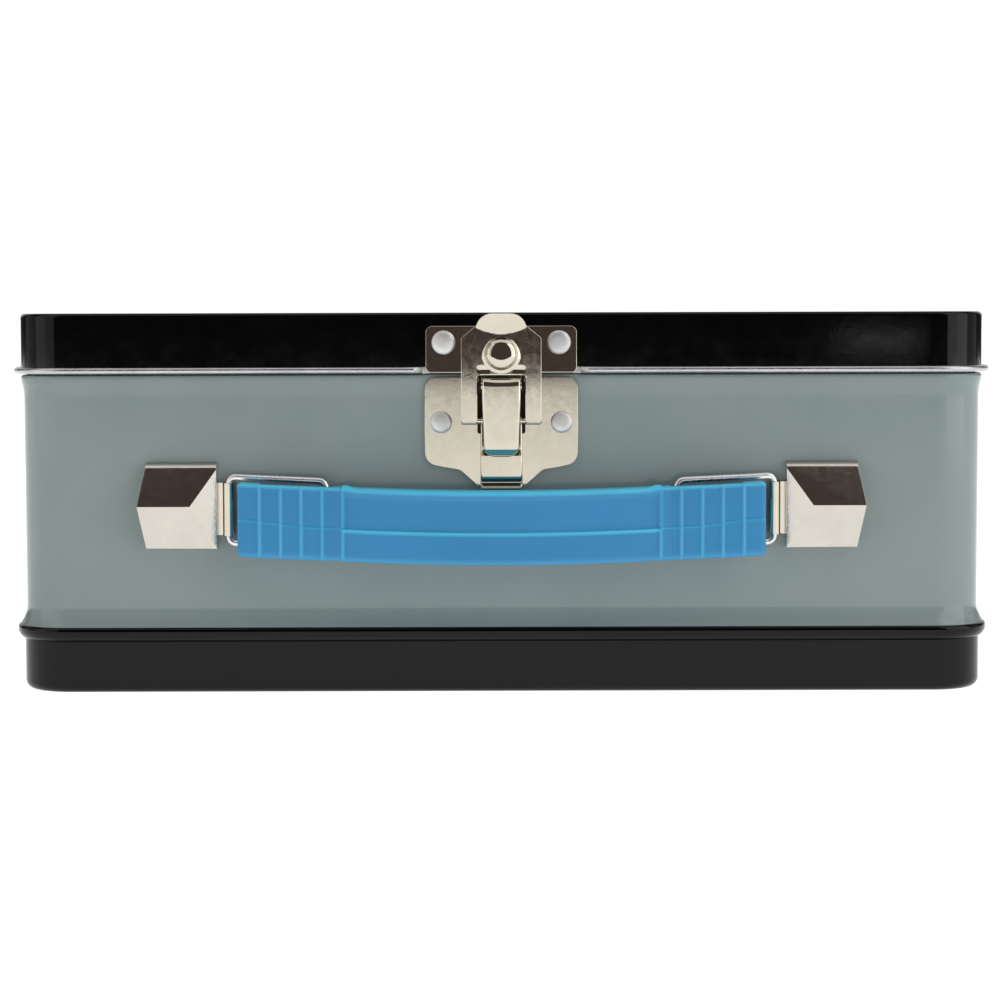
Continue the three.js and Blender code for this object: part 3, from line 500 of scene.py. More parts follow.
def case_stations():
    """Places round the case's outline as (x, y, normal x, normal y), anticlockwise from above."""
    stations = []
    for normal in (Vector((0, -1)), Vector((1, 0)), Vector((0, 1)), Vector((-1, 0))):
        away, across, step = (HALF_Y, HALF_X, WALL_STEP) if normal.y else (HALF_X, HALF_Y, SIDE_STEP)
        half_run = Vector((-normal.y, normal.x)) * (across - CORNER_R)
        start, end = normal * away - half_run, normal * away + half_run
        steps = round((end - start).length / step)
        for i in range(steps + 1):
            stations.append((*start.lerp(end, i / steps), *normal))
        centre = end - normal * CORNER_R
        first = math.atan2(normal.y, normal.x)
        for i in range(1, CORNER_STEPS):
            angle = first + math.pi / 2 * i / CORNER_STEPS
            direction = Vector((math.cos(angle), math.sin(angle)))
            stations.append((*(centre + direction * CORNER_R), *direction))
    return stations


STATIONS = case_stations()


def pressed_flat(x, normal_y):
    """1 where a fitting presses the rolled edge flat, easing to 0 beside it."""
    if normal_y < -0.99:
        return 1 - smoothstep(LATCH_FLAT, LATCH_FLAT + FLAT_EASE, abs(x))
    if normal_y > 0.99:
        return 1 - smoothstep(HINGE_FLAT, HINGE_FLAT + FLAT_EASE, abs(abs(x) - HINGE_X))
    return 0.0


def shell(name, profile, flat_outset=None, flat_above=0.0, closed=False, waves=0.0):
    """Sweeps an (outset, z) profile round the case. Fittings press outsets past flat_outset back to it."""
    rings = []
    for x, y, nx, ny in STATIONS:
        flat = pressed_flat(x, ny) if flat_outset is not None else 0.0
        ring = []
        for outset, z in profile:
            if flat and outset > flat_outset and z > flat_above:
                outset += (flat_outset - outset) * flat
            if waves and abs(nx * ny) < 0.01:
                middle = bump(z - (BAND_TOP + BEAD_TOP) / 2, (BAND_TOP - BEAD_TOP) / 2)
                outset += waves * middle * noise.noise(Vector((x * 0.022, y * 0.022, z * 0.03)))
            ring.append((x + nx * outset, y + ny * outset, z))
        rings.append(ring)
    count = len(profile)
    vertices = [point for ring in rings for point in ring]
    faces = skin_faces(len(rings), count, True, closed)
    if not closed:
        faces.append(tuple(i * count for i in reversed(range(len(rings)))))
        faces.append(tuple(i * count + count - 1 for i in range(len(rings))))
    return mesh_piece(name, vertices, faces)


def base_pan():
    """The black pan: rounded foot, wall, seam bead and a shallow stiffening groove underneath."""
    bead_r, bead_z = 2.2, BEAD_TOP - 0.9
    bead_a = ROLL_OUTSET - bead_r
    start = -math.degrees(math.acos(-bead_a / bead_r))
    profile = [(-14.0, 0), (-13.2, 0.35), (-11.4, 0.35), (-10.6, 0), (-1.8, 0)]
    profile += arc(-1.8, 1.8, 1.8, -90, 0, 8)[1:]
    profile += [(0, 9.6)]
    profile += arc(bead_a, bead_z, bead_r, start, 12, 12)
    profile += arc(0.72, 12.86, 0.62, 20, 90, 4)
    profile += [(-0.3, BEAD_TOP), (-SHEET, BEAD_TOP - 0.2), (-SHEET, 1.8)]
    profile += arc(-1.8, 1.8, 1.3, 0, -90, 4)[1:]
    piece = shell("base_pan_enamelled", profile)
    return dress(piece, BLACK, "case", "black_enamel", "base_pan")


def flare(wall_z, edge_z, rise, steps, inset=0):
    """A turned-out edge of the band, as (outset, z) from the straight wall to the edge."""
    shares = [i / steps for i in range(steps + 1)]
    return [(WAIST + rise * t * t - inset, wall_z + (edge_z - wall_z) * t) for t in shares]


def body_band():
    """The grey wall, flared at both edges, with the neck that the lid shuts over."""
    rows, foot_rise, foot_steps = 14, 1.4, 10
    walls = [WALL_LOW + (WALL_HIGH - WALL_LOW) * i / rows for i in range(1, rows)]
    profile = [(0.9, BAND_FOOT), (0.9, BEAD_TOP - 0.4)]
    profile += flare(WALL_LOW, BEAD_TOP, foot_rise, foot_steps)[::-1]
    profile += [(WAIST, z) for z in walls]
    profile += flare(WALL_HIGH, 63.2, -WAIST, 8)
    profile += [(0.02, 63.9)]
    profile += arc(-0.35, BAND_TOP - 0.35, 0.35, 10, 90, 4)
    profile += [(-1.0, BAND_TOP), (-1.2, BAND_TOP + 0.2)]
    profile += arc(-1.45, NECK_TOP - 0.25, 0.25, 0, 180, 5)
    profile += [(-1.7, 62.0), (-1.0, 60.0)]
    profile += [(WAIST - SHEET, z) for z in reversed(walls)]
    profile += flare(WALL_LOW, BEAD_TOP, foot_rise, foot_steps, SHEET)
    profile += [(0.4, BAND_FOOT)]
    piece = shell("body_band_enamelled", profile, WAIST, 58.0, closed=True, waves=0.09)
    return dress(piece, GREY, "case", "grey_enamel", "body_band")


def lap_seam():
    """The soldered lap down the middle of the back wall."""
    half, proud, low, high = 4.0, 0.3, 17.0, 60.2
    section = [(half + 0.8, 0.05), (half, -proud), (-half, -proud), (-half - 0.8, 0.05)]
    rows = 18
    rings = []
    for i in range(rows + 1):
        z = low + (high - low) * i / rows
        taper = min(1.0, smoothstep(0, 0.06, i / rows) * smoothstep(0, 0.06, 1 - i / rows) + 0.15)
        ripple = 0.06 * noise.noise(Vector((3.0, z * 0.25, 7.0)))
        rings.append([(a, BACK_Y - b * taper + ripple, z) for a, b in section])
    piece = loft("band_lap_seam", rings, sharp_deg=50)
    return dress(piece, GREY, "case", "grey_enamel")


def lid_pan():
    """The black lid: plain wall, eased top edge and a panel pressed down inside a border."""
    inset, depth, edge = 8.5, 0.7, 0.8
    profile = [(-inset - depth - 0.2, TOTAL_H - depth - SHEET), (-inset + 0.2, TOTAL_H - SHEET)]
    profile += [(-edge, TOTAL_H - SHEET), (-SHEET, TOTAL_H - edge), (-SHEET, LID_BOTTOM + 0.5)]
    profile += [(-0.25, LID_BOTTOM + 0.3), (0, LID_BOTTOM + 0.5), (0, 70.0)]
    profile += arc(-edge, TOTAL_H - edge, edge, 0, 90, 7)
    profile += [(-3.0, TOTAL_H), (-inset + 0.3, TOTAL_H), (-inset - 0.05, TOTAL_H - 0.1)]
    profile += [(-inset - depth * 0.9, TOTAL_H - depth + 0.1), (-inset - depth - 0.5, TOTAL_H - depth)]
    profile += [(-9.9, TOTAL_H - depth)]
    piece = shell("lid_pan_enamelled", profile)
    return dress(piece, BLACK, "lid", "black_enamel", "lid_pan")


def lid_curl():
    """The lid's rolled bare edge, pinched flat beside the latch and the hinges."""
    radius = 0.65
    profile = arc(ROLL_OUTSET - radius, LID_BOTTOM + radius, radius, 0, 345, 23)
    piece = shell("lid_rolled_edge", profile, 0.02, 0.0, closed=True)
    return dress(piece, TIN, "lid", "nickel")


# ---------------------------------------------------------------- rivets
RIVET_SHANK_R = 0.9
RIVET_TAIL_R, RIVET_TAIL = 1.8, 0.6


def rivet(node, body, face_y, outward):
    """A domed rivet over its CAD node: the head stands on face_y, and the tail shows inside the case."""
    low, high = node_box(node)
    x, z = (low.x + high.x) / 2, (low.z + high.z) / 2
    radius = (high.x - low.x) / 2
    tip, tail = (low.y, high.y) if outward < 0 else (high.y, low.y)
    height = abs(tip - face_y)
    foot = -abs(tail - face_y)
    shoulder = foot + RIVET_TAIL
    profile = [(0, foot), (RIVET_TAIL_R - 0.3, foot), (RIVET_TAIL_R, foot + 0.25), (RIVET_TAIL_R, shoulder)]
    profile += [(RIVET_SHANK_R, shoulder), (RIVET_SHANK_R, 0), (radius - 0.12, 0)]
    for a in turns(0, 90, 9):
        profile.append((radius * math.cos(a) ** 0.6, height * (0.12 + 0.62 * math.sin(a))))
    profile.append((0, height * 0.75))
    piece = lathe(node + "_head", profile, facing(x, face_y, z, (0, outward, 0)))
    return dress(piece, ALUMINIUM, body, "aluminium", node)


# ---------------------------------------------------------------- hinges
HINGE_HALF = 12.0
HINGE_LEAF = 0.8
HINGE_KNUCKLE_HALF, HINGE_GAP = 4.0, 0.3
HINGE_CURL_R = 1.2
HINGE_HOLE_R = 1.2
HINGE_PIN_R, HINGE_PIN_PROUD = 0.75, 0.4
HINGE_BODIES = {"body": "case", "lid": "lid"}


def leaf_sheet(word, x, which, back, low, high):
    """A hinge leaf's flat part: square beside the pin, rounded at its far end, with two rivet holes."""
    square, rounded = 0.2, 1.6
    top, foot = (rounded, square) if which == "lid" else (square, rounded)
    left, right = x - HINGE_HALF, x + HINGE_HALF
    corners = [(right, high, top), (left, high, top), (left, low, foot), (right, low, foot)]
    holes = []
    for n in (1, 2):
        rivet_low, rivet_high = node_box(f"hinge_{word}_{which}_rivet_{n}")
        middle = (rivet_low + rivet_high) / 2
        holes.append(circle(middle.x, middle.z, HINGE_HOLE_R))
    return plate(f"leaf_{which}", [rounded_outline(corners), *holes], back + HINGE_LEAF, HINGE_LEAF)


def curl(start, end, step):
    """The middle line of a leaf's curl about the pin, between angles in whole degrees."""
    r = HINGE_CURL_R
    return [(HINGE.y + r * math.cos(a), HINGE.z + r * math.sin(a)) for a in turns(start, end, step)]


def hinge_leaf(word, which, flat, path, knuckles):
    """A hinge leaf: its flat part, and the curls about the pin from each knuckle's start to its end."""
    parts = [flat] + [strip("curl", path, HINGE_LEAF, x0, x1) for x0, x1 in knuckles]
    node = f"hinge_{word}_{which}_leaf"
    return dress(joined(node + "_pressed", parts), NICKEL, HINGE_BODIES[which], "nickel", node)


def hinge_leaves(word, x):
    """The leaf on the back wall with two outer knuckles, and the leaf on the lid with one between them."""
    low, high = node_box(f"hinge_{word}_body_leaf")[0].z, node_box(f"hinge_{word}_lid_leaf")[1].z
    middle, inner = BACK_Y + HINGE_LEAF / 2, HINGE_KNUCKLE_HALF + HINGE_GAP
    path = [(middle, HINGE.z - 2.4), (middle + 0.1, HINGE.z - 1.6), (BACK_Y + 1.4, HINGE.z - 1.1)]
    flat = leaf_sheet(word, x, "body", BACK_Y, low, HINGE.z - 1.4)
    outer_knuckles = ((x - HINGE_HALF, x - inner), (x + inner, x + HINGE_HALF))
    hinge_leaf(word, "body", flat, path + curl(-160, 148, 14), outer_knuckles)
    middle = HALF_Y + HINGE_LEAF / 2
    path = [(middle, HINGE.z + 2.0), (middle + 0.1, HINGE.z + 1.3), (HALF_Y + 1.2, HINGE.z + 0.9)]
    flat = leaf_sheet(word, x, "lid", HALF_Y, HINGE.z + 0.8, high)
    knuckle = (x - HINGE_KNUCKLE_HALF, x + HINGE_KNUCKLE_HALF)
    hinge_leaf(word, "lid", flat, path + curl(160, -150, -14), [knuckle])


def hinge(side):
    word = "left" if side < 0 else "right"
    x = side * HINGE_X
    hinge_leaves(word, x)
    reach = HINGE_HALF + HINGE_PIN_PROUD
    pin = rod(f"hinge_{word}_pin_round", HINGE_PIN_R, x - reach, x + reach, HINGE.y, HINGE.z)
    dress(pin, WIRE, "case", "steel_wire", f"hinge_{word}_pin")
    for n in (1, 2):
        rivet(f"hinge_{word}_body_rivet_{n}", "case", BACK_Y + HINGE_LEAF, 1)
        rivet(f"hinge_{word}_lid_rivet_{n}", "lid", HALF_Y + HINGE_LEAF, 1)


# ---------------------------------------------------------------- latch
PLATE_T = 0.8
LID_PLATE_LEAN = 0.02
NUB_Z = 68.5
NUB_PROFILE = [(0, -0.3), (1.75, -0.3), (1.7, 0.1), (1.5, 0.5), (1.1, 0.72), (0, 0.8)]
CHANNEL_HALF, CHANNEL_CORNER = 4.25, 0.5
EAR_R, EAR_IN, EAR_T = 1.8, 4.05, 0.6
WINDOW_HALF = 4.85


def latch_lid_plate():
    """The striker plate on the lid, leaning a little, with the nub that the hasp's dome seats on."""
    low, high = node_box("latch_lid_plate")
    half = high.x
    outline = rounded_outline(mirrored([(half, high.z, 1.3), (half, low.z, 1.1)]))
    sheet = plate("sheet", [outline], LID_FRONT_Y, PLATE_T)
    for vertex in sheet.data.vertices:
        vertex.co.y -= LID_PLATE_LEAN * (high.z * MM - vertex.co.z)
    nub = lathe("nub", NUB_PROFILE, facing(0, LID_FRONT_Y - PLATE_T, NUB_Z, (0, -1, 0)))
    piece = joined("latch_lid_plate_pressed", [sheet, nub])
    return dress(piece, NICKEL, "lid", "nickel", "latch_lid_plate")


def channel_profile():
    """How far the raised channel stands proud of the base plate, down from its top, as (proud, z)."""
    face, low, ledge = 2.0, 44.5, 1.25
    points = [(0.2, 56.5), (0.85, 55.4), (0.9, 49.4), (face, 48.2), (face, 47.0), (face, low + 0.2)]
    for a in (0.26, 0.52, 0.79, 1.05, 1.31, 1.5):
        points.append((face - 0.8 * (1 - math.cos(a)), low - 1.9 * math.sin(a)))
    points += [(ledge - 0.05, 42.45), (ledge + 0.15, 42.3), (ledge + 0.2, 42.0), (ledge, 41.75)]
    points += [(0.8, 41.6), (0.7, 41.3), (0.65, 40.7)]
    return points


def front_corner(half, front, corner, angles):
    """A pressed channel's right front corner as (x, y), from its side round to its front."""
    return [(half - corner * (1 - math.cos(a)), front + corner * (1 - math.sin(a))) for a in angles]


def latch_channel():
    """The raised channel down the middle of the base plate."""
    half, corner = CHANNEL_HALF, CHANNEL_CORNER
    back = FRONT_Y - PLATE_T / 2
    rings = []
    for proud, z in channel_profile():
        front = FRONT_Y - PLATE_T / 2 - proud
        right = [(half, back), (half, front + corner)]
        right += front_corner(half, front, corner, (0.4, 0.8, 1.2, 1.571))
        outline = [(-x, y) for x, y in right] + right[::-1]
        rings.append([(x, y, z) for x, y in outline])
    return loft("channel", rings[::-1], sharp_deg=22)


def latch_ear(side):
    """One of the two ears that hold the lever's pin."""
    y, z = LEVER_PIVOT.y, LEVER_PIVOT.z
    foot = FRONT_Y - PLATE_T / 2
    outline = arc(y, z, EAR_R, 90, 270, 16) + [(foot, z - EAR_R), (foot, z + 0.7)]
    rings = [[(x, a, b) for a, b in outline] for x in sorted((side * EAR_IN, side * (EAR_IN + EAR_T)))]
    return loft("ear", rings)


def latch_base_plate():
    """The base plate with its raised channel, and behind the lever a dark sheet and two dark ears: painted
    shade in the window.
    """
    low, high = node_box("latch_base_plate")
    half = high.x
    right = [
        (half, high.z, 2.4), (half + 0.1, 53.0, 8.0), (half, 46.6, 2.6), (11.0, 45.7, 6.0), (8.4, 45.3, 2.2),
        (4.5, 41.8, 0.8), (4.2, low.z, 0.3),
    ]
    sheet = plate("sheet", [rounded_outline(mirrored(right))], FRONT_Y, PLATE_T)
    piece = joined("latch_base_plate_pressed", [sheet, latch_channel()])
    dress(piece, SHADED_SATIN_NICKEL, "case", "nickel", "latch_base_plate")
    # A thin dark sheet and dark ears fill the window behind the lever: painted shade.
    window = rounded_outline(mirrored([(WINDOW_HALF, 63.0, 0.2), (WINDOW_HALF, 52.6, 0.5)]))
    liner = plate("window_shade_sheet", [window], FRONT_Y - PLATE_T + 0.02, 0.12, 0.03)
    recess = joined("latch_ears_in_window", [liner, latch_ear(-1), latch_ear(1)])
    return dress(recess, PAINTED_SHADE_NICKEL, "case", "nickel")


LEVER_TOP, LEVER_BROW_ROWS = 63.6, 14
LEVER_END = node_box("latch_lever")[0].z
LEVER_CURL = 1.9
LEVER_HALF = 3.85
LEVER_FACE = 2.5
LEVER_CORNER, LEVER_WALL = 0.45, 0.75
LEVER_COLUMNS = 12


def lever_curl(z):
    """0 on the lever's face, rising to 1 at its curled lower end."""
    return min(1.0, max(0.0, (LEVER_END + LEVER_CURL - z) / LEVER_CURL))


def lever_face(share, z):
    """The lever's front at a share of its half width: flat, then turning back above the pivot."""
    rise = max(0.0, z - LEVER_PIVOT.z - 0.25 * share * share)
    reach = LEVER_FACE - 0.2 * rise
    curl_in = lever_curl(z)
    nose = 1.05 * curl_in * curl_in / (curl_in + 0.12) + 0.7 * (1 - math.sqrt(1 - curl_in ** 8))
    return LEVER_PIVOT.y - math.sqrt(reach * reach - rise * rise) + nose


def lever_section(z):
    """The lever's outline at a height: a channel with rounded front edges, open at the back."""
    half = LEVER_HALF - 0.35 * smoothstep(-61.0, -50.0, -z) - 1.75 * lever_curl(z) ** 3
    front = lever_face(1, z)
    back = max(front + 1.2, -85.2 - 2.2 * smoothstep(-54.6, -49.2, -z))
    right = [(half, back), (half, front + LEVER_CORNER)]
    right += front_corner(half, front, LEVER_CORNER, (0.4, 0.8, 1.2))
    shares = [2 * i / LEVER_COLUMNS - 1 for i in range(LEVER_COLUMNS + 1)]
    face = [(share * (half - LEVER_CORNER), lever_face(share, z)) for share in shares]
    outer = [(-x, y) for x, y in right] + face + right[::-1]
    wall = half - LEVER_WALL
    inner_front = min(front + LEVER_WALL, back - 0.05)
    inner = [(wall, back), (wall, inner_front), (-wall, inner_front), (-wall, back)]
    return [(x, y, z) for x, y in outer + inner]


def latch_lever():
    steps = 16
    bends = [1 - math.cos(math.pi / 2 * i / steps) for i in range(steps + 1)]
    heights = [LEVER_END + LEVER_CURL * bend for bend in bends]
    heights += [51.5, 54, 56, 58, 60, 61.6, 62.1]
    heights += [LEVER_TOP - 0.1 * i for i in range(LEVER_BROW_ROWS, -1, -1)]
    channel = loft("channel", [lever_section(z) for z in heights], sharp_deg=50)
    barrel = rod("barrel", 1.75, -LEVER_HALF, LEVER_HALF, LEVER_PIVOT.y, LEVER_PIVOT.z, 0.2)
    piece = joined("latch_lever_pressed", [channel, barrel], 50)
    return dress(piece, NICKEL, "latch_lever", "nickel", "latch_lever")


HASP_BACK_Y = HASP_PIVOT.y + 0.05
HASP_SHEET = 0.9
HASP_FRONT_Y = HASP_BACK_Y - HASP_SHEET
HASP_WINDOW = 4.8
TAB_BEND_Z = 72.9
DOME_Z = 68.7


def press_hasp(piece):
    """Leans the tab outwards above its bend, and presses a nick on each side of the dome's foot."""
    for vertex in piece.data.vertices:
        x, z = vertex.co.x / MM, vertex.co.z / MM
        above = z - TAB_BEND_Z - 0.05 * x * x
        if above > 0:
            vertex.co.y -= 0.2 * above ** 1.2 * MM
        nick = bump(z - 65.55, 0.8) * bump(abs(x) - 3.5, 1.2)
        vertex.co.y += 0.2 * nick * MM
    return piece


def hasp_dome():
    """The hollow dome that seats on the lid plate's nub, with a lip round its foot."""
    outer = [(3.95, -0.05), (3.7, 0.06), (3.45, 0.28), (3.3, 0.32)]
    outer += [(3.2 * math.cos(a) ** 0.55, 0.5 + 1.5 * math.sin(a)) for a in turns(0, 90, 8)]
    inner = [(2.55 * math.cos(a), 1.3 * math.sin(a)) for a in turns(88, 0, -12)]
    profile = [(0, 1.3), *inner, (2.7, -0.85), (3.2, -0.85), *outer, (0, 2.02)]
    return lathe("dome", profile, facing(0, HASP_FRONT_Y, DOME_Z, (0, -1, 0.1)), 56, 40)


def latch_hasp():
    """The hasp: a windowed sheet with a shouldered tab, a dome, and rolls round its pin."""
    high = node_box("latch_hasp")[1]
    half, top = high.x, high.z
    foot = HASP_PIVOT.z - 0.3
    right = [
        (4.35, top, 3.3), (5.0, 74.4, 0.8), (half, 71.9, 0.7), (half, foot, 0.35),
        (HASP_WINDOW, foot, 0.1), (HASP_WINDOW, 64.4, 0.3),
    ]
    rows = [64.3 + 0.2 * i for i in range(13)] + [72.3 + 0.25 * i for i in range(19)]
    columns = [-7.5 + 0.3 * i for i in range(51)]
    loops = [rounded_outline(mirrored(right)), circle(0, DOME_Z, 2.9, 40)]
    sheet = press_hasp(plate("sheet", loops, HASP_BACK_Y, HASP_SHEET, 0.12, rows, columns))
    parts = [sheet, hasp_dome()]
    roll_r = HASP_PIVOT.y - HASP_FRONT_Y
    for x0, x1 in ((-half, -HASP_WINDOW), (HASP_WINDOW, half)):
        parts.append(rod("roll", roll_r, x0, x1, HASP_PIVOT.y, HASP_PIVOT.z, 0.25))
    piece = joined("latch_hasp_pressed", parts)
    return dress(piece, NICKEL, "latch_hasp", "nickel", "latch_hasp")


def latch_pins():
    low, high = node_box("latch_hasp_pin")
    pin = rod("latch_hasp_pin_round", 0.55, low.x + 1.1, high.x - 1.1, HASP_PIVOT.y, HASP_PIVOT.z)
    dress(pin, NICKEL, "latch_lever", "nickel", "latch_hasp_pin")
    low, high = node_box("latch_pivot_pin")
    pin = rod("latch_pivot_pin_round", 0.9, low.x, high.x, LEVER_PIVOT.y, LEVER_PIVOT.z)
    dress(pin, NICKEL, "case", "nickel", "latch_pivot_pin")


def latch():
    latch_lid_plate()
    latch_base_plate()
    latch_lever()
    latch_hasp()
    latch_pins()
    for word in ("left", "right"):
        rivet(f"latch_lid_rivet_{word}", "lid", LID_FRONT_Y - PLATE_T, -1)
        rivet(f"latch_base_rivet_{word}", "case", FRONT_Y - PLATE_T, -1)


# ---------------------------------------------------------------- handle
CAP_OUTER_X, CAP_RIDGE_X = 71.8, 62.6
CAP_HEIGHT, CAP_FLANGE, CAP_HIP_FLANGE = 5.2, 1.9, 2.6
CAP_SHOULDER_R = 1.8
CAP_WALL = 0.8
CAP_EDGE = 0.22
CAP_SLOT_X = (56.4, 59.4)
CAP_SLOT_DEPTH, CAP_SLOT_SLACK = 1.3, 0.3
STRAP_TAIL_X, STRAP_SHEET, STRAP_ROLL_R = 68.5, 0.42, 1.0
STRAP_INNER_Y, STRAP_OUTER_Y = FRONT_Y - 0.26, FRONT_Y - 0.76


def cap_shoulder(depth, high_z, middle):
    """The rounding between the cap's top side and upper face, as (depth, z) from the wall outwards."""
    slope = math.atan2(CAP_HEIGHT - depth, high_z - middle)
    tangent = CAP_SHOULDER_R * math.tan((math.pi / 2 - slope) / 2)
    return arc(depth - tangent, high_z - CAP_SHOULDER_R, CAP_SHOULDER_R, 90, math.degrees(slope), 10)


def cap_points(side, inset, back_y):
    """Corners of the faceted cap, inset from its outside."""
    low, high = node_box("handle_cap_right")
    middle = (low.z + high.z) / 2
    points = []
    for x, depth in ((low.x + inset, CAP_HIP_FLANGE), (CAP_OUTER_X - inset, CAP_FLANGE)):
        points += [(side * x, back_y, z) for z in (low.z + inset, high.z - inset)]
        points.append((side * x, FRONT_Y - depth + inset / 2, low.z + inset))
        shoulder = [(depth - inset / 2, high.z - inset)] if inset else cap_shoulder(depth, high.z, middle)
        points += [(side * x, FRONT_Y - a, z) for a, z in shoulder]
    for x in (CAP_RIDGE_X + inset, high.x - inset):
        points.append((side * x, FRONT_Y - CAP_HEIGHT + inset * 1.4, middle))
    return points


def hull(name, points):
    """The convex body round some points."""
    builder = bmesh.new()
    for point in points:
        builder.verts.new(Vector(point) * MM)
    bmesh.ops.convex_hull(builder, input=builder.verts)
    loose = [v for v in builder.verts if not v.link_faces]
    bmesh.ops.delete(builder, geom=loose, context="VERTS")
    bmesh.ops.dissolve_limit(builder, angle_limit=0.01, verts=builder.verts, edges=builder.edges)
    bmesh.ops.recalc_face_normals(builder, faces=builder.faces)
    mesh = bpy.data.meshes.new(name)
    builder.to_mesh(mesh)
    builder.free()
    return placed(name, mesh)


def handle_cap(side, word):
    """A faceted hollow cap with a slot for the clip."""
    solid = hull(f"handle_cap_{word}_faceted", cap_points(side, 0.0, FRONT_Y))
    piece = soften(solid, CAP_EDGE, 3, 22, 30)
    strap_low, strap_high = node_box(f"handle_strap_{word}")
    x0, x1 = sorted(side * x for x in CAP_SLOT_X)
    slot_low = (x0, FRONT_Y - CAP_SLOT_DEPTH, strap_low.z - CAP_SLOT_SLACK)
    slot_high = (x1, FRONT_Y + CLEAR_OF, strap_high.z + CAP_SLOT_SLACK)
    hollow = hull("hollow", cap_points(side, CAP_WALL, FRONT_Y + 2 * CLEAR_OF))
    cut_away(piece, [hollow, block("slot", slot_low, slot_high)], 30)
    return dress(piece, CAST_NICKEL, "case", "nickel", f"handle_cap_{word}")


def handle_strap(side, word):
    """The clip: a doubled strap rolled round the ring's outer bar."""
    low, high = node_box(f"handle_strap_{word}")
    ease = 0.05
    path = [(STRAP_TAIL_X, STRAP_INNER_Y), (58.6, STRAP_INNER_Y), (57.2, FRONT_Y - 0.5)]
    for a in turns(62, -296, -12):
        path.append((RING_PIVOT.x + STRAP_ROLL_R * math.cos(a), RING_PIVOT.y + STRAP_ROLL_R * math.sin(a)))
    path += [(58.4, STRAP_OUTER_Y), (STRAP_TAIL_X, STRAP_OUTER_Y)]
    outline = sheet_outline(path, STRAP_SHEET)
    rings = [[(side * p.x, p.y, z) for p in outline] for z in (low.z + ease, high.z - ease)]
    piece = turned_out(loft(f"handle_clip_{word}_rolled", rings, sharp_deg=40))
    return dress(piece, NICKEL, "case", "nickel", f"handle_strap_{word}")


WIRE_LOW, WIRE_HIGH, WIRE_LENGTH, WIRE_R = 30.7, 44.1, 20.0, 0.7
WIRE_DROOP, WIRE_BEND, WIRE_BUTT = 0.7, 1.5, 0.15
WIRE_REST = math.radians(8)
WIRE_SIDES, WIRE_BEND_STEPS = 16, 8


def ring_path():
    """The wire's middle line as (reach from the turning axis, z), from one end round to the other."""
    low, high, length, bend, steps = WIRE_LOW, WIRE_HIGH, WIRE_LENGTH, WIRE_BEND, WIRE_BEND_STEPS
    middle = (low + high) / 2
    path = [(0, middle + WIRE_BUTT), (0, high - bend - 1.5)]
    path += arc(bend, high - bend, bend, 180, 90, steps)
    path += [(bend + 2, high - 0.12)]
    path += arc(length - bend, high - WIRE_DROOP - bend, bend, 90, 0, steps)
    path += arc(length - bend, low - WIRE_DROOP + bend, bend, 0, -90, steps)
    path += [(bend + 2, low - 0.12)]
    path += arc(bend, low + bend, bend, 270, 180, steps)
    path += [(0, middle - WIRE_BUTT)]
    return [Vector(point) for point in path]


def handle_ring(side, word):
    """A round wire ring about its turning axis, its ends meeting inside the clip."""
    points = ring_path()
    rings = []
    for i, point in enumerate(points):
        along = heading(points, i)
        across = Vector((along.y, -along.x))
        ring = []
        for k in range(WIRE_SIDES):
            angle = 2 * math.pi * k / WIRE_SIDES
            flat = point + across * WIRE_R * math.cos(angle)
            reach = Matrix.Rotation(-WIRE_REST, 2) @ Vector((flat.x, WIRE_R * math.sin(angle)))
            ring.append((side * (RING_PIVOT.x - reach.x), RING_PIVOT.y + reach.y, flat.y))
        rings.append(ring)
    piece = loft(f"handle_ring_{word}_wire", rings if side > 0 else rings[::-1], sharp_deg=40)
    return dress(turned_out(piece), WIRE, f"ring_{word}", "steel_wire", f"handle_ring_{word}")


RIB_PLACES = (48.3, 44.1, 40.0, 35.8, 31.7)
GRIP_HALF = node_box("handle_grip")[1].x
GRIP_HALF_H, GRIP_HALF_T, GRIP_END_Z, GRIP_SAG = 7.4, 3.0, 35.8, 1.5
GRIP_BACK_Y, GRIP_BOW, GRIP_BOW_HALF = -86.1, 3.8, 33.8
GRIP_BACK_R = 1.5
GRIP_STEPS, GRIP_ROWS = 640, 44
POCKET_X, POCKET_FRONT_Y, POCKET_REAR_Y, POCKET_FLOOR = (33.8, 48.3), -90.7, -87.42, 29.1
REBATE_X, REBATE_Y = (33.8, 56.0), (POCKET_REAR_Y - 0.01, -84)
BRIDGE_LOW, BRIDGE_HIGH, ABOVE_GRIP = 32.6, 39.3, 60


def grip_centre(x):
    """The middle of the grip's section at x, as (y, z)."""
    bow = GRIP_BOW * max(0.0, 1 - (x / GRIP_BOW_HALF) ** 2)
    sag = GRIP_SAG * (1 - (x / GRIP_HALF) ** 2)
    return GRIP_BACK_Y - GRIP_HALF_T - bow, GRIP_END_Z - sag


def grip_outline(half_t, half_h, low_corner, high_corner):
    """The grip's section as (depth, height, part): 0 on the front, 1 on a front corner, 2 elsewhere."""
    top, foot, rows = half_h - high_corner, -half_h + low_corner, GRIP_ROWS
    outline = [(-half_t, top + (foot - top) * i / rows, 0) for i in range(rows + 1)]
    outline += [(a, b, 1) for a, b in arc(-half_t + low_corner, foot, low_corner, 180, 270, 6)[1:]]
    back, round_r = half_t - GRIP_BACK_R, GRIP_BACK_R
    outline += [(a, b, 2) for a, b in arc(back, -half_h + round_r, round_r, 270, 360, 4)]
    outline += [(a, b, 2) for a, b in arc(back, half_h - round_r, round_r, 0, 90, 4)]
    outline += [(a, b, 1) for a, b in arc(-half_t + high_corner, top, high_corner, 90, 180, 6)[:-1]]
    return outline


def crease_painted_highlight(height, between):
    """The painted highlight along the ledge of the grip's crease, at a height above the crease."""
    if between:
        return 0.9 * bump(height + 0.35, 0.62)
    return 0.45 * bump(height + 0.1, 0.32)


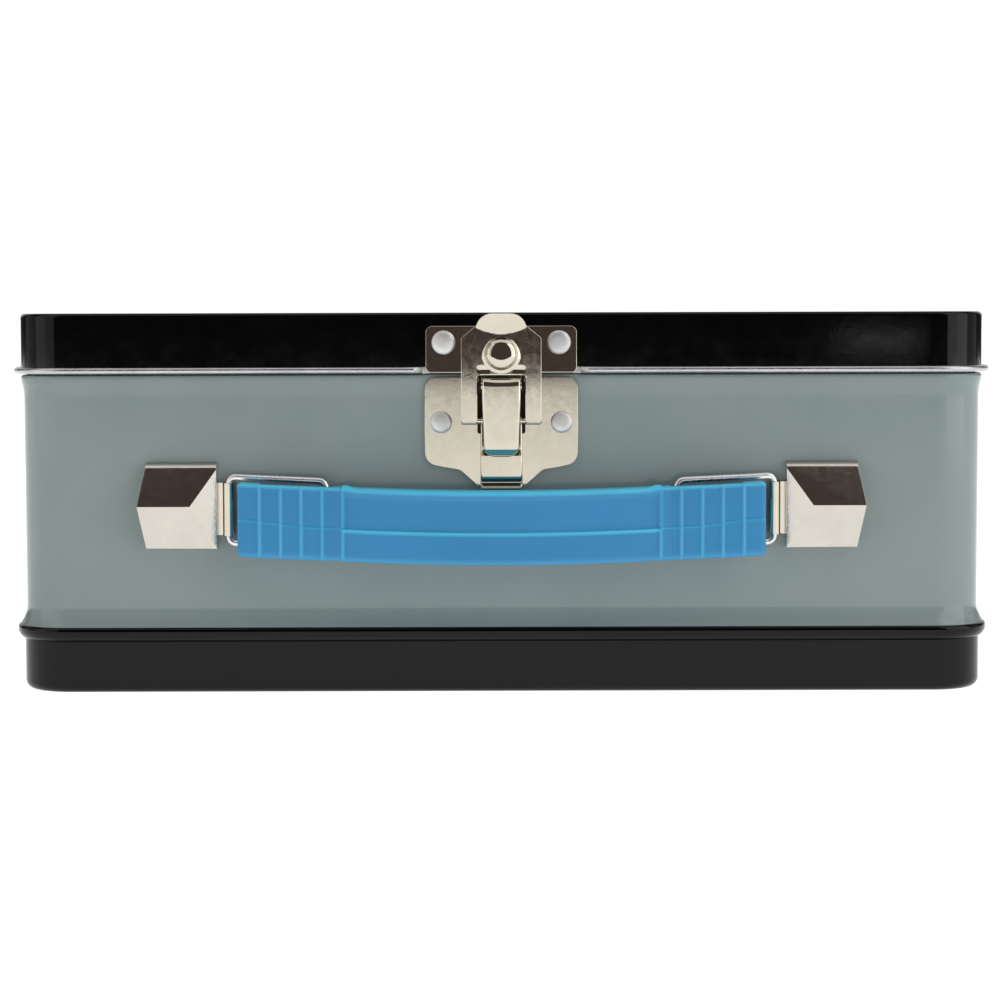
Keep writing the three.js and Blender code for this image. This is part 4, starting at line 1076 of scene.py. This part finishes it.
def grip_section(x):
    """Outline of the grip at x, and each point's painted highlight on the ribs, the crease's ledge and the
    top and bottom edges.
    """
    y0, z0 = grip_centre(x)
    reach = abs(x)
    end = 1 - math.sqrt(max(0.0, 1 - max(0.0, reach - GRIP_HALF + 1.0) ** 2))
    half_t, half_h = GRIP_HALF_T - 0.5 * end, GRIP_HALF_H - 0.45 * end
    rib = max(bump(reach - place, 0.5) for place in RIB_PLACES)
    collar = bump(reach - RIB_PLACES[-1], 0.8)
    between = reach < RIB_PLACES[-1]
    ledge, lit_rim = (0.42, 1.35) if between else (0.14, 0.8)
    shoulder = smoothstep(28.6, 31.0, reach) * (1 - smoothstep(31.7, 32.0, reach))
    crease = -0.8 * (1 - smoothstep(38.0, 50.0, reach))
    points, light = [], []
    for a, b, part in grip_outline(half_t, half_h, 1.3, 0.8):
        front = (1.0, 0.6, 0.0)[part]
        out = (0.34 * rib + 0.1 * collar) * front
        # Painted highlight: lighter colour on the ribs, along the crease's ledge, and at the top and bottom
        # edges.
        highlight = 0.55 * rib * front
        if part == 0:
            out -= ledge * smoothstep(-0.12, 0.12, b - crease)
            highlight = max(highlight, crease_painted_highlight(b - crease, between))
            band = smoothstep(half_h - 2.0, half_h - 1.2, b)
            out += 0.25 * band * (1 - rib) if between else 0.0
        highlight = max(highlight, smoothstep(half_h - lit_rim, half_h - 0.3, b))
        highlight = max(highlight, 0.15 * smoothstep(-half_h + 1.2, -half_h + 0.2, b))
        up = 0.5 * shoulder * smoothstep(half_h - 1.8, half_h, b) if part < 2 else 0.0
        points.append((x, y0 + a - out, z0 + b + up))
        light.append(min(1.0, highlight))
    return points, light


def grip_tools(side):
    """Cutting blocks for one end of the grip: the ring's pocket and the rebates above and below it."""
    x0, x1 = sorted(side * x for x in POCKET_X)
    pocket = block("pocket", (x0, POCKET_FRONT_Y, POCKET_FLOOR), (x1, POCKET_REAR_Y, ABOVE_GRIP))
    x0, x1 = sorted(side * x for x in REBATE_X)
    front, back = REBATE_Y
    low = block("rebate_low", (x0, front, POCKET_FLOOR), (x1, back, BRIDGE_LOW))
    high = block("rebate_high", (x0, front, BRIDGE_HIGH), (x1, back, ABOVE_GRIP))
    return [pocket, low, high]


def handle_grip():
    """The moulded grip: ribbed ends, a bowed middle with a crease, and slots for the rings behind."""
    places = [-GRIP_HALF + 2 * GRIP_HALF * i / GRIP_STEPS for i in range(GRIP_STEPS + 1)]
    sections = [grip_section(x) for x in places]
    piece = loft("handle_grip_moulded", [points for points, light in sections], sharp_deg=40)
    attribute = piece.data.attributes.new("painted_highlight", "FLOAT", "POINT")
    attribute.data.foreach_set("value", [value for points, light in sections for value in light])
    turned_out(piece)
    cut_away(piece, grip_tools(-1) + grip_tools(1), 40)
    return dress(piece, BLUE, "handle", "blue_plastic", "handle_grip")


def handle():
    for side, word in ((-1, "left"), (1, "right")):
        handle_cap(side, word)
        handle_strap(side, word)
        handle_ring(side, word)
        for level in ("lower", "upper"):
            rivet(f"handle_rivet_{word}_{level}", "case", FRONT_Y - STRAP_ROLL_R, -1)
    handle_grip()


# ---------------------------------------------------------------- trays
TRAY_RIM, TRAY_RIM_H, TRAY_WALL, TRAY_FLOOR = 1.2, 1.6, 1.4, 1.4
TRAY_DRAFT, TRAY_CORNER, POCKET_CORNER = 1.2, 8.0, 4.0
NOTCH_R = 9.0                   # finger notches in the upper tray's ends


def tray_ring(half_x, half_y, radius, z, centre=(0, 0), steps=6):
    """A rectangle with rounded corners, at a height."""
    points = []
    for quarter, (sx, sy) in enumerate(((1, 1), (-1, 1), (-1, -1), (1, -1))):
        cx = centre[0] + sx * (half_x - radius)
        cy = centre[1] + sy * (half_y - radius)
        points += [(a, b, z) for a, b in arc(cx, cy, radius, quarter * 90, quarter * 90 + 90, steps)]
    return points


def tray_pocket(centre, half_x, half_y, low_z, high_z):
    """The hollow of one compartment, with drafted sides and a rounded foot."""
    levels = [
        (1.9, low_z + TRAY_FLOOR), (1.3, low_z + TRAY_FLOOR + 0.25), (1.1, low_z + TRAY_FLOOR + 0.9),
        (0.1, high_z - 0.4), (-0.3, high_z + 0.5),
    ]
    corner = POCKET_CORNER
    rings = [tray_ring(half_x - inset, half_y - inset, corner - inset, z, centre) for inset, z in levels]
    return loft("pocket", rings)


def tray_pockets(rows, low, high):
    """Every compartment of a tray. A row is (start, end, columns), its ends as shares of the depth."""
    clear_x, clear_y = 2 * (high.x - TRAY_RIM - TRAY_WALL), 2 * (high.y - TRAY_RIM - TRAY_WALL)
    tools = []
    for start, end, columns in rows:
        width = (clear_x - (columns - 1) * TRAY_WALL) / columns
        y0 = -clear_y / 2 + clear_y * start + TRAY_WALL / 2
        y1 = -clear_y / 2 + clear_y * end - TRAY_WALL / 2
        for column in range(columns):
            x = -clear_x / 2 + column * (width + TRAY_WALL) + width / 2
            tools.append(tray_pocket((x, (y0 + y1) / 2), width / 2, (y1 - y0) / 2, low.z, high.z))
    return tools


def tray(node, rows, notched):
    """A moulded tray: rimmed outside, and one pocket cut for each compartment."""
    low, high = node_box(node)
    under_rim, foot = high.z - TRAY_RIM_H, TRAY_RIM + TRAY_DRAFT
    levels = [
        (foot + 0.9, low.z), (foot + 0.25, low.z + 0.25), (foot, low.z + 0.9), (TRAY_RIM + 0.1, under_rim),
        (0.15, under_rim + 0.05), (0, under_rim + 0.3), (0, high.z - 0.3), (0.3, high.z),
    ]
    corner = TRAY_CORNER
    rings = [tray_ring(high.x - inset, high.y - inset, corner - inset, z, steps=10) for inset, z in levels]
    piece = loft(f"{node}_moulded", rings)
    tools = tray_pockets(rows, low, high)
    if notched:
        for side in (-1, 1):
            x0, x1 = sorted((side * (high.x - 4), side * (high.x + CLEAR_OF)))
            tools.append(rod("notch", NOTCH_R, x0, x1, 0, high.z, 0.01, 48))
    cut_away(piece, tools)
    return dress(piece, TRAY_PLASTIC, node, "tray_plastic", node)


def trays():
    tray("lower_tray", [(0, 0.42, 1), (0.42, 1, 3)], False)
    tray("upper_tray", [(0, 0.5, 3), (0.5, 1, 3)], True)


# ---------------------------------------------------------------- the object
base_pan()
body_band()
lap_seam()
lid_pan()
lid_curl()
hinge(-1)
hinge(1)
latch()
handle()
trays()


# ---------------------------------------------------------------- floor, light and camera
FLOOR_GLOW = 1.0
DIM_STUDIO = ((1.0, 0.76, 0.7, 1), 0.07)    # colour and strength
WHITE_STUDIO = ((1, 1, 1, 1), 1.0)
FLOOR_FRONT, FLOOR_BACK, FLOOR_HALF = -2500.0, 3000.0, 3200.0
VIEW_DISTANCE, VIEW_HEIGHT, VIEW_AIM = 520.0, 76.5, 39.16
VIEW_ROLL = math.radians(-0.155)
VIEW_LENS, VIEW_SENSOR, VIEW_SHIFT = 92.81, 36.0, -0.0016


def floor_material():
    m = Material("pale_floor", ior=1.4)
    m.set({
        "Base Color": m.mix(m.range(m.noise(3, 3), 0, 1), [0.3, 0.3, 0.3], [0.32, 0.32, 0.32]),
        "Roughness": m.range(m.noise(8, 3), 0.75, 0.9),
        "Specular IOR Level": 0.05,
        "Emission Color": (1, 1, 1),
        "Emission Strength": FLOOR_GLOW,
    })
    return m.material


def lit_floor():
    """A pale floor lit from within, wide enough to fill the view and to show in the bright fittings."""
    near = [(-FLOOR_HALF, FLOOR_FRONT, 0), (FLOOR_HALF, FLOOR_FRONT, 0)]
    far = [(FLOOR_HALF, FLOOR_BACK, 0), (-FLOOR_HALF, FLOOR_BACK, 0)]
    floor = mesh_piece("floor", near + far, [(0, 1, 2, 3)])
    floor.data.materials.append(floor_material())


def softbox(name, place, size, target, power):
    """A rectangular light of a given power in watts, turned to a target."""
    light = bpy.data.lights.new(name, "AREA")
    light.shape = "RECTANGLE"
    light.size, light.size_y = size[0] * MM, size[1] * MM
    light.energy = power
    lamp = placed(name, light)
    lamp.location = Vector(place) * MM
    lamp.rotation_euler = (Vector(target) - Vector(place)).to_track_quat("-Z", "Y").to_euler()
    return lamp


def world_light():
    """White to the camera, and a dim studio to everything else."""
    world = bpy.data.worlds.new("studio")
    bpy.context.scene.world = world
    world.use_nodes = True
    nodes, links = world.node_tree.nodes, world.node_tree.links
    nodes.clear()
    mix = nodes.new("ShaderNodeMixShader")
    path = nodes.new("ShaderNodeLightPath")
    links.new(path.outputs["Is Camera Ray"], mix.inputs["Fac"])
    for i, (colour, strength) in enumerate((DIM_STUDIO, WHITE_STUDIO)):
        sky = nodes.new("ShaderNodeBackground")
        sky.inputs["Color"].default_value = colour
        sky.inputs["Strength"].default_value = strength
        links.new(sky.outputs["Background"], mix.inputs[i + 1])
    output = nodes.new("ShaderNodeOutputWorld")
    links.new(mix.outputs["Shader"], output.inputs["Surface"])


def lighting():
    """Two softboxes in front, white walls and ceiling, and a small lamp that glints on the lid."""
    centre = (0, -40, 40)
    softbox("softbox_left", (-900, -620, 480), (1000, 1000), centre, 2.2)
    softbox("softbox_right", (820, -560, 460), (1000, 1000), centre, 4.4)
    softbox("wall_left", (-1300, -200, 380), (1500, 760), (0, -200, 380), 1.3)
    softbox("wall_right", (1300, -200, 380), (1500, 760), (0, -200, 380), 1.3)
    softbox("overhead", (0, -360, 1500), (2600, 1640), (0, -360, 0), 11.0)
    softbox("wall_back", (0, 1700, 900), (3400, 1500), (0, 0, 300), 11.0)
    glint = softbox("glint_right", (295, -1584, 58), (64, 22), (77, -84, 71), 0.006)
    glint.data.use_shadow = False
    world_light()


def camera():
    """Straight on to the latch side, level with the lid's top and looking slightly down."""
    data = bpy.data.cameras.new("camera")
    data.lens = VIEW_LENS
    data.sensor_width = VIEW_SENSOR
    data.shift_x = VIEW_SHIFT
    data.clip_start, data.clip_end = 0.01, 20
    view = placed("camera", data)
    view.location = Vector((0, -HALF_Y - VIEW_DISTANCE, VIEW_HEIGHT)) * MM
    look = (Vector((0, -HALF_Y, VIEW_AIM)) * MM - view.location).to_track_quat("-Z", "Y")
    roll = Matrix.Rotation(VIEW_ROLL, 4, "Z")
    view.rotation_euler = (look.to_matrix().to_4x4() @ roll).to_euler()
    bpy.context.scene.camera = view


lit_floor()
lighting()
camera()
bpy.context.scene.view_settings.view_transform = "Standard"
